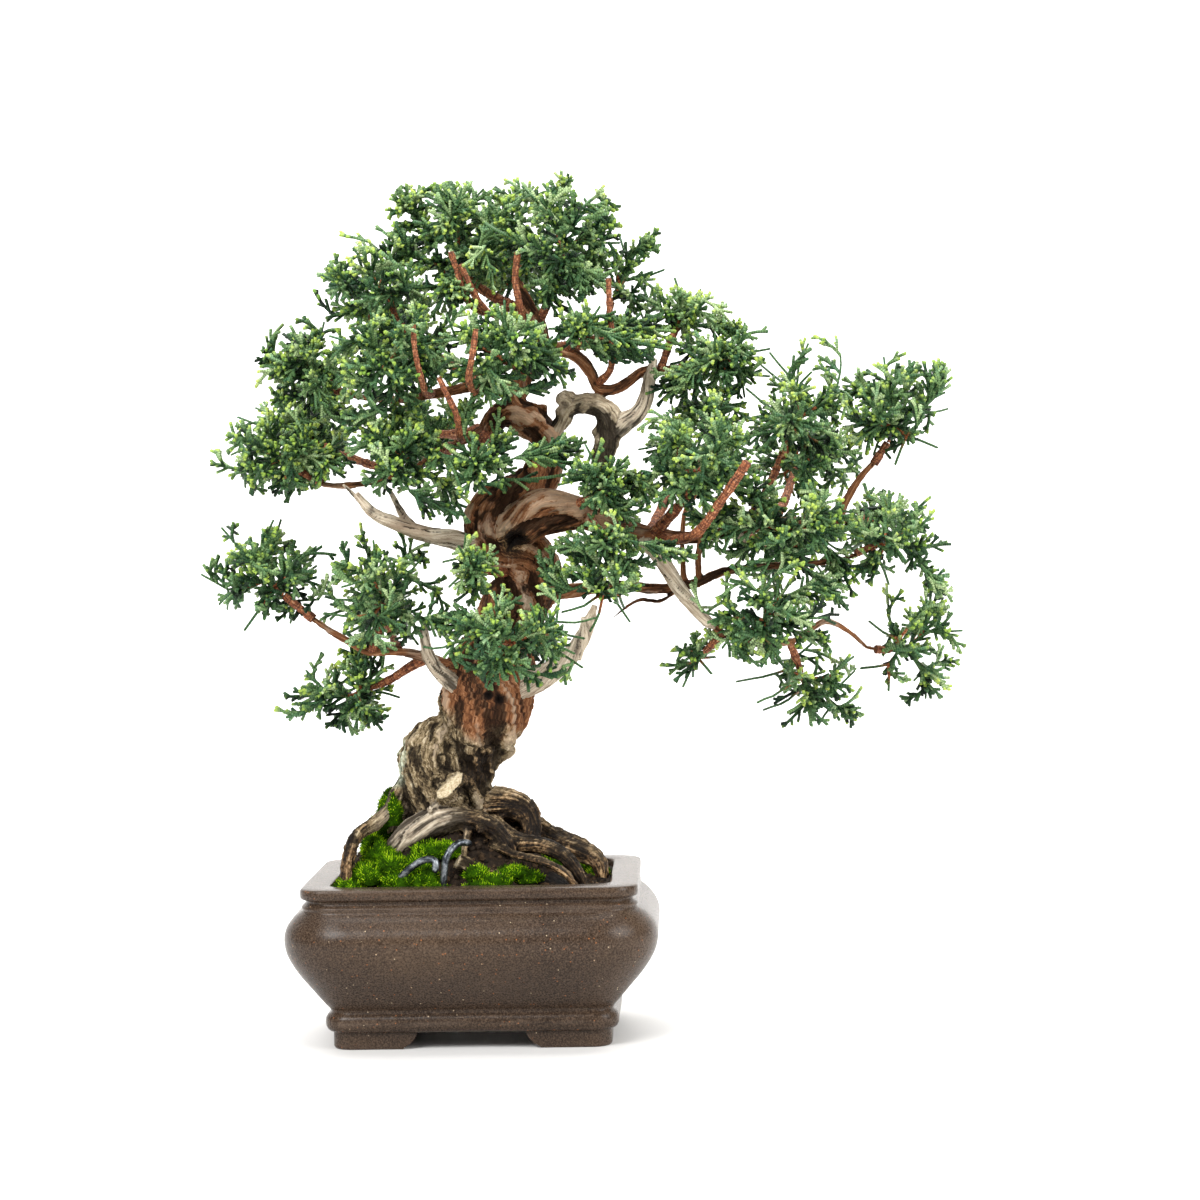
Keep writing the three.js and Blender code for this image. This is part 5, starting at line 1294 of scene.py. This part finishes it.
def make_foliage(material):
    sprays = [Spray(number, spray) for number, spray in enumerate(SPRAYS)]
    share = SHOOT_COUNT / sum(sum(spray.sizes) for spray in sprays)
    for spray in sprays:
        spray.grow(share)
        points, faces, data = shoots_mesh(spray.chains)
        fields = dict(zip(("tip", "shade", "travel", "age"), data.T))
        stands_for = ["spray_" + spray.name]
        make_piece("leaves_" + spray.name, points, faces, material, "foliage", stands_for, fields)


# Pot

POT_NARROWER = 12  # how much less the pot measures from its middle to its back than to its side
RIM_TOP = 57.3
FEET = ["pot_foot_front_left", "pot_foot_front_right", "pot_foot_back_left", "pot_foot_back_right"]
# Profiles from the base band to the rim, and down inside: height, half width, corner radius
OUTER = [
    (6, 49.4, 7), (6.3, 50.2, 7.6), (6.9, 50.9, 8), (8, 51.5, 8.6), (9.5, 51.7, 9), (11, 51.5, 8.6),
    (12.2, 50.8, 8), (12.8, 49.9, 7.8), (13.3, 49.7, 7.8), (14.4, 50.4, 8.2), (16, 51.8, 9),
    (21, 56, 13), (27, 61, 18), (33, 64.6, 22), (38.5, 65.8, 24), (43, 64.8, 23), (47, 61.8, 19),
    (48.6, 59.6, 14.6), (49.2, 58.7, 13), (49.7, 58.7, 13), (50.3, 59, 13), (50.9, 58.8, 13),
    (51.5, 58, 12), (52, 57.4, 11), (52.9, 57.3, 11), (53.3, 57.8, 10.6), (53.5, 58.6, 10.2),
    (54, 59, 10), (55.4, 59.1, 10), (56.6, 59, 10), (57.1, 58.7, 9.8), (RIM_TOP, 58.2, 9.5),
]
BELLY = (10, 16)  # the rows of OUTER that the belly curves through
INNER = [
    (RIM_TOP, 49.8, 7.6), (57.1, 49.3, 7.2), (56.6, 49, 7), (51, 49, 7), (46.5, 55.5, 15),
    (39, 60, 20), (31, 58, 19), (20, 50, 14), (12, 44.5, 10),
]
# Drain holes and wire holes: x, y, radius, sides
HOLES = [(-24, 0, 6, 32), (24, 0, 6, 32), (-32, -17, 1.9, 16), (-22, -17, 1.9, 16)]
WORN_EDGES = (RIM_TOP, 50.1, 9.5)
FOOT_HALF_X, FOOT_HALF_Y, FOOT_CORNER = 49, 37, 7
FOOT_ROWS = [(0, 0.7), (0.25, 0.3), (0.8, 0), (3, 0), (6.4, 0)]  # height, how far drawn in
FRONT_GAP, SIDE_GAP = 19, 14  # half the passages between the feet


def rounded(half_x, half_y, radius, corner=11, straight=9):
    """Points round a rounded rectangle, with extra points along its straight sides"""

    def at(quarter, part):
        sign_x, sign_y = ((1, 1), (-1, 1), (-1, -1), (1, -1))[quarter % 4]
        angle = (quarter + part) * math.pi / 2
        x = sign_x * (half_x - radius) + radius * math.cos(angle)
        return np.array([x, sign_y * (half_y - radius) + radius * math.sin(angle)])

    points = []
    for quarter in range(4):
        points += [at(quarter, k / corner) for k in range(corner + 1)]
        a, b = points[-1], at(quarter + 1, 0)
        points += [a + (b - a) * k / (straight + 1) for k in range(1, straight + 1)]
    return np.array(points)


def lofted(rows):
    """Closed solid through rows of (ring in x and y, height)"""
    size = len(rows[0][0])
    points = [np.column_stack([ring, np.full(size, z)]) for ring, z in rows]
    faces = bands(len(rows), size)
    faces.append(tuple(range(size - 1, -1, -1)))
    faces.append(tuple(range((len(rows) - 1) * size, len(rows) * size)))
    return np.vstack(points), faces


def finer(rows, first, last, parts):
    """More rows between two of them, on a smooth curve"""
    rows = np.array(rows, float)
    out = [tuple(r) for r in rows[:first]]
    for i in range(first, last):
        p0, p1, p2, p3 = rows[max(first, i - 1)], rows[i], rows[i + 1], rows[min(last, i + 2)]
        slope, square, cube = p2 - p0, 2 * p0 - 5 * p1 + 4 * p2 - p3, 3 * p1 - p0 - 3 * p2 + p3
        for t in np.arange(parts) / parts:
            out.append(tuple(0.5 * (2 * p1 + slope * t + square * t * t + cube * t**3)))
    return out + [tuple(r) for r in rows[last:]]


def carved(points, faces, cutters):
    """A solid less each of its cutters: points, faces"""
    body = new_object("body", points, faces)
    tools = [new_object("cutter", *cutter) for cutter in cutters]
    for tool in tools:
        cut = body.modifiers.new("cut", "BOOLEAN")
        cut.operation = "DIFFERENCE"
        cut.solver = "EXACT"
        cut.object = tool
    points, _, faces = worked_out(body, *tools)
    return points, faces


def prism(outline, low, high, axis):
    """Closed bar with that outline across one axis"""
    across, over = np.array(outline).T
    size = len(across)
    ends = []
    for value in (low, high):
        columns = [across, over]
        columns.insert("xyz".index(axis), np.full(size, value))
        ends.append(np.column_stack(columns))
    faces = [(i, (i + 1) % size, (i + 1) % size + size, i + size) for i in range(size)]
    faces += [tuple(range(size - 1, -1, -1)), tuple(range(size, 2 * size))]
    if axis == "y":
        faces = [face[::-1] for face in faces]
    return np.vstack(ends), faces


def bracket(half_gap, below=-2.0, above=8.0, steps=10):
    """Outline of the gap between two feet, with curved brackets"""
    curve = ((5, 0.6), (0.8, 2.4), (0, 6.0))
    start, control, end = (np.array([half_gap + out, z]) for out, z in curve)
    side = [(start[0], below), tuple(start)]
    for k in range(1, steps + 1):
        t = k / steps
        side.append(tuple(start * (1 - t) ** 2 + 2 * control * t * (1 - t) + end * t * t))
    side.append((half_gap, above))
    return side + [(-x, z) for x, z in reversed(side)]


def make_pot(material):
    shell = [
        (rounded(half, half - POT_NARROWER, corner), z)
        for z, half, corner in finer(OUTER, *BELLY, 4) + INNER
    ]
    holes = []
    for x, y, radius, sides in HOLES:
        angle = angles(sides)
        ring = np.column_stack([x + radius * np.cos(angle), y + radius * np.sin(angle)])
        holes.append(prism(ring, 3, 15, "z"))
    points, faces = carved(*lofted(shell), holes)
    outward = unit(points * (1, 1, 0.2) - (0, 0, 30))
    points = points + 0.12 * fractal(points * 0.05, 91, 2)[:, None] * outward
    edge = np.maximum.reduce([1 - soft(np.abs(points[:, 2] - z), 0.2, 1.6) for z in WORN_EDGES])
    rub = edge * soft(noise(points * 0.25, 93), -0.5, 0.6)
    make_piece("pot_body", points, faces, material, "pot", ["pot"], {"rub": rub})

    foot = [
        (rounded(FOOT_HALF_X - inset, FOOT_HALF_Y - inset, FOOT_CORNER - inset), z)
        for z, inset in FOOT_ROWS
    ]
    cutters = [
        lofted([(rounded(40, 28, 5), z) for z in (-1, 7)]),
        prism(bracket(FRONT_GAP), -80, 80, "y"),
        prism(bracket(SIDE_GAP), -80, 80, "x"),
    ]
    points, faces = carved(*lofted(foot), cutters)
    rub = 1 - soft(points[:, 2], 0, 1.2)
    make_piece("pot_feet", points, faces, material, "pot", FEET, {"rub": rub}, smooth=False)


# Soil and moss

SOIL_HALF = np.array([48.4, 36.4])
SOIL_CORNER = np.array([41.6, 29.6])  # the middles of the soil's rounded corners
SOIL_ROUND = 6.7
GRAIN_COUNT = 1500
GOLDEN = (1 + 5**0.5) / 2
ICOSAHEDRON = unit(np.array([
    (-1, GOLDEN, 0), (1, GOLDEN, 0), (-1, -GOLDEN, 0), (1, -GOLDEN, 0),
    (0, -1, GOLDEN), (0, 1, GOLDEN), (0, -1, -GOLDEN), (0, 1, -GOLDEN),
    (GOLDEN, 0, -1), (GOLDEN, 0, 1), (-GOLDEN, 0, -1), (-GOLDEN, 0, 1),
]))
ICOSAHEDRON_SIDES = [
    (0, 11, 5), (0, 5, 1), (0, 1, 7), (0, 7, 10), (0, 10, 11), (1, 5, 9), (5, 11, 4), (11, 10, 2),
    (10, 7, 6), (7, 1, 8), (3, 9, 4), (3, 4, 2), (3, 2, 6), (3, 6, 8), (3, 8, 9), (4, 9, 5),
    (2, 4, 11), (6, 2, 10), (8, 6, 7), (9, 8, 1),
]
# Cushions of moss: middle, half sizes
MOSS = [
    ((-30, 2, 78), (5.5, 7, 9)), ((-32, -5, 73.5), (5.5, 6, 7)), ((-35, -11, 68), (5.5, 7, 6)),
    ((-42, -29, 55.5), (6, 7, 5)), ((-35, -27, 59.5), (7, 7, 5.5)), ((-28, -26, 62), (6.5, 7, 5.5)),
    ((-33, -19, 65), (6, 7, 5.5)), ((-24, -31, 57.5), (7.5, 5.5, 4.5)),
    ((-16, -31, 58), (6, 5.5, 5)),
    ((-18, -27, 63), (6, 5, 4.5)), ((-14, -23, 67), (7, 6, 4.5)), ((-8, -23, 67), (5, 5, 4)),
    ((-13, -33, 56), (6, 3.5, 4)), ((2, -30, 60), (5, 4.5, 3.5)), ((9, -33, 57), (6, 4, 4)),
    ((15, -28, 60), (6, 4.5, 3)), ((4, -35, 55), (7, 2.6, 3.5)), ((20, -27, 58), (5, 4, 3)),
    ((-44, 2, 56), (4, 10, 4)), ((-36, 24, 57), (8, 8, 5)), ((4, 30, 58), (12, 6, 4.5)),
    ((-12, 27, 62), (8, 8, 5)), ((-28.5, -11, 78.5), (3, 4, 7.5)), ((33, 20, 57), (9, 9, 4)),
    ((22, 12, 64), (6, 6, 3)), ((44, 8, 54.5), (4, 8, 3)), ((27, -11, 61), (5, 4, 3)),
]
MOSS_REACH = 0.62  # how far down a cushion goes, as a share of half a turn
MOSS_LIMIT = np.array([48.6, 36.6])  # no moss grows past the pot's rim


def soil_height(x, y):
    """The mound, highest at the trunk"""
    reach = np.minimum(1, np.hypot((x + 7) / 46, (y - 1) / 36))
    mound = 29 * (1 - reach) ** 0.8
    return 54.5 + mound + 0.5 * np.sin(x * 0.45) * np.cos(y * 0.5) * (1 - reach)


def make_soil(material, across=110, along=86):
    u, v = np.meshgrid(np.linspace(-1, 1, across), np.linspace(-1, 1, along), indexing="ij")
    flat = np.column_stack([u.ravel(), v.ravel()]) * SOIL_HALF
    inset = np.abs(flat) - SOIL_CORNER
    reach = np.linalg.norm(inset, axis=1)
    shrink = np.where(reach > SOIL_ROUND, SOIL_ROUND / np.maximum(reach, 1e-6), 1)
    rounded_off = np.sign(flat) * (SOIL_CORNER + inset * shrink[:, None])
    flat = np.where((inset > 0).all(axis=1)[:, None], rounded_off, flat)
    rough = fractal(np.column_stack([flat, np.zeros(len(flat))]) * 0.4, 5, 4)
    edge = np.max(np.abs(flat) / SOIL_HALF, axis=1)
    z = soil_height(*flat.T) + 0.5 + 1.1 * rough * soft(edge, 1.02, 0.9)
    points = np.column_stack([flat, z])
    faces = [
        (i * along + j, (i + 1) * along + j, (i + 1) * along + j + 1, i * along + j + 1)
        for i in range(across - 1) for j in range(along - 1)
    ]
    tone = 0.35 + 0.2 * noise(points * 0.9, 4)
    make_piece("soil_top", points, faces, material, "soil", (), {"tone": tone})

    pick = np.random.default_rng(12)
    spread = pick.uniform(-1, 1, (GRAIN_COUNT, 2)) * (47.2, 35.2)
    size = pick.uniform(0.45, 1.25, GRAIN_COUNT)
    size = size * pick.choice([0.8, 1, 1.5], GRAIN_COUNT, p=[0.5, 0.35, 0.15])
    ground = soil_height(*spread.T) + 0.45 + 0.25 * size
    corners = len(ICOSAHEDRON)
    uneven = pick.uniform(0.65, 1.25, (GRAIN_COUNT, corners, 1))
    grains = ICOSAHEDRON[None] * uneven * size[:, None, None]
    grains = grains * pick.uniform(0.7, 1.1, (GRAIN_COUNT, 1, 3))
    grains = (grains + np.column_stack([spread, ground])[:, None]).reshape(-1, 3)
    sides = ICOSAHEDRON_SIDES
    faces = [tuple(k + corners * n for k in side) for n in range(GRAIN_COUNT) for side in sides]
    tone = np.repeat(pick.uniform(0.1, 0.95, GRAIN_COUNT), corners)
    make_piece("soil_grains", grains, faces, material, "soil", (), {"tone": tone}, smooth=False)


def cushion(ways, number, centre, half):
    """Places on a cushion of moss in those directions"""
    swell = 1 + 0.16 * fractal(ways * 2.1 + number * 9.0, 61, 3)
    return ways * swell[:, None] * np.array(half) + np.array(centre)


def make_moss(material, rings=12, sides=26):
    """Beds, and leaves standing on them"""
    pick = np.random.default_rng(31)
    beds, chains = [], []
    falls = [math.pi * MOSS_REACH * i / rings for i in range(rings + 1)]
    dome = np.array([
        (math.sin(fall) * math.cos(turn), math.sin(fall) * math.sin(turn), math.cos(fall))
        for fall in falls for turn in angles(sides)
    ])
    dome_faces = [(a, d, c, b) for a, b, c, d in bands(rings + 1, sides)]
    for number, (centre, half) in enumerate(MOSS):
        beds.append((cushion(dome, number, centre, half), dome_faces))
        count = int(6.5 * (half[0] * half[1] + half[2] * (half[0] + half[1]) / 2))
        k = np.arange(count)
        up = 1 - 1.25 * (k + 0.5) / count
        flat = np.sqrt(1 - up * up)
        turn = k * GOLDEN_ANGLE
        way = np.column_stack([flat * np.cos(turn), flat * np.sin(turn), up])
        place = cushion(way, number, centre, half)
        stray = 0.4 * pick.normal(size=way.shape)
        lean = unit(unit(way / np.array(half)) + stray + (0, 0, 0.3))
        length = pick.uniform(0.5, 1.7, count)
        bright = pick.uniform(0.2, 1, count) * soft(fractal(place * 0.42, 77, 2), -0.75, 0.35)
        for p, d, size, light in zip(place, lean, length, bright):
            if (np.abs(p[:2]) <= MOSS_LIMIT).all():
                line = np.array([p - d * 0.3, p + d * size])
                chains.append((line, np.array([0.34, 0.34]), np.array([[0.35 * light], [light]])))
    points, faces = joined(beds)
    low, high = (*(0.1 - MOSS_LIMIT), 0), (*(MOSS_LIMIT - 0.1), 200)
    fields = {"tip": np.full(len(points), 0.12)}
    make_piece("moss_beds", np.clip(points, low, high), faces, material, "foliage", (), fields)
    points, faces, data = shoots_mesh(chains)
    make_piece("moss_leaves", points, faces, material, "foliage", (), {"tip": data[:, 0]})


# Tie wire

WIRE_RADIUS = 1.25
WIRE_END = (0.7, 1.1)  # the radius at each cut end, and beside it


def make_wire(material):
    route = Route([[*station, WIRE_RADIUS] for station in TIE_WIRE], 0.8)
    route.radii[:2] = WIRE_END
    route.radii[-2:] = WIRE_END[::-1]
    make_piece("wire", *tube(route, 16), material, "wire", ["tie_wire"])


# Floor and light

# Area lamps: place, what it looks at, size in metres, power in watts
LAMPS = {
    "key": ((-1300, -1900, 2050), (10, 0, 150), 1.5, 104.0),
    "fill": ((2000, -1100, 1200), (20, 0, 120), 1.4, 50.0),
    "back": ((600, 1300, 2100), (20, 0, 160), 1.8, 42.0),
    "backdrop": ((0, 600, 2500), (0, 1700, 700), 2.4, 80.0),
}
WORLD_STRENGTH = 0.3
FLOOR_FRONT, FLOOR_BEND, FLOOR_HALF_WIDTH, WALL_TOP = -2600, 900, 3500, 3000


def make_stage():
    """A pale sheet that curves up behind the part, and four lamps"""
    paint = Paint("pale_floor", 0.6)
    curve = np.linspace(0.06, math.pi / 2, 24)
    rows = [(FLOOR_FRONT, 0), (FLOOR_BEND, 0)]
    rows += [(FLOOR_BEND * (1 + math.sin(a)), FLOOR_BEND * (1 - math.cos(a))) for a in curve]
    rows.append((2 * FLOOR_BEND, WALL_TOP))
    points = [(x, y, z) for y, z in rows for x in (-FLOOR_HALF_WIDTH, FLOOR_HALF_WIDTH)]
    faces = [(2 * i, 2 * i + 1, 2 * i + 3, 2 * i + 2) for i in range(len(rows) - 1)]
    sheet = new_object("floor", in_frame(points), faces)
    sheet.data.polygons.foreach_set("use_smooth", [True] * len(faces))
    sheet.data.materials.append(paint.finish(rgb("dddcda")))

    world = bpy.data.worlds.new("studio")
    world.use_nodes = True
    background = world.node_tree.nodes["Background"].inputs
    background["Color"].default_value = (1, 1, 1, 1)
    background["Strength"].default_value = WORLD_STRENGTH
    bpy.context.scene.world = world
    for name, (place, target, size, power) in LAMPS.items():
        data = bpy.data.lights.new(name, "AREA")
        data.size = size
        data.energy = power
        back = unit(np.array(place, float) - np.array(target, float))
        right = unit(np.cross(UP, back))
        stand(bpy.data.objects.new(name, data), place, right, np.cross(back, right), back)
    bpy.context.scene.view_settings.view_transform = "Standard"


make_camera()
make_stage()
clay, soil, moss = clay_paint(), soil_paint(), moss_paint()
make_pot(clay)
make_soil(soil)
make_moss(moss)
make_wire(wire_paint())
make_wood(wood_paint())
make_twigs(twig_paint())
make_foliage(leaf_paint())
screen = screen_paint()
for node in ("drain_screen_left", "drain_screen_right"):
    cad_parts[node].data.materials[0] = screen
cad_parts["soil"].data.materials[0] = soil
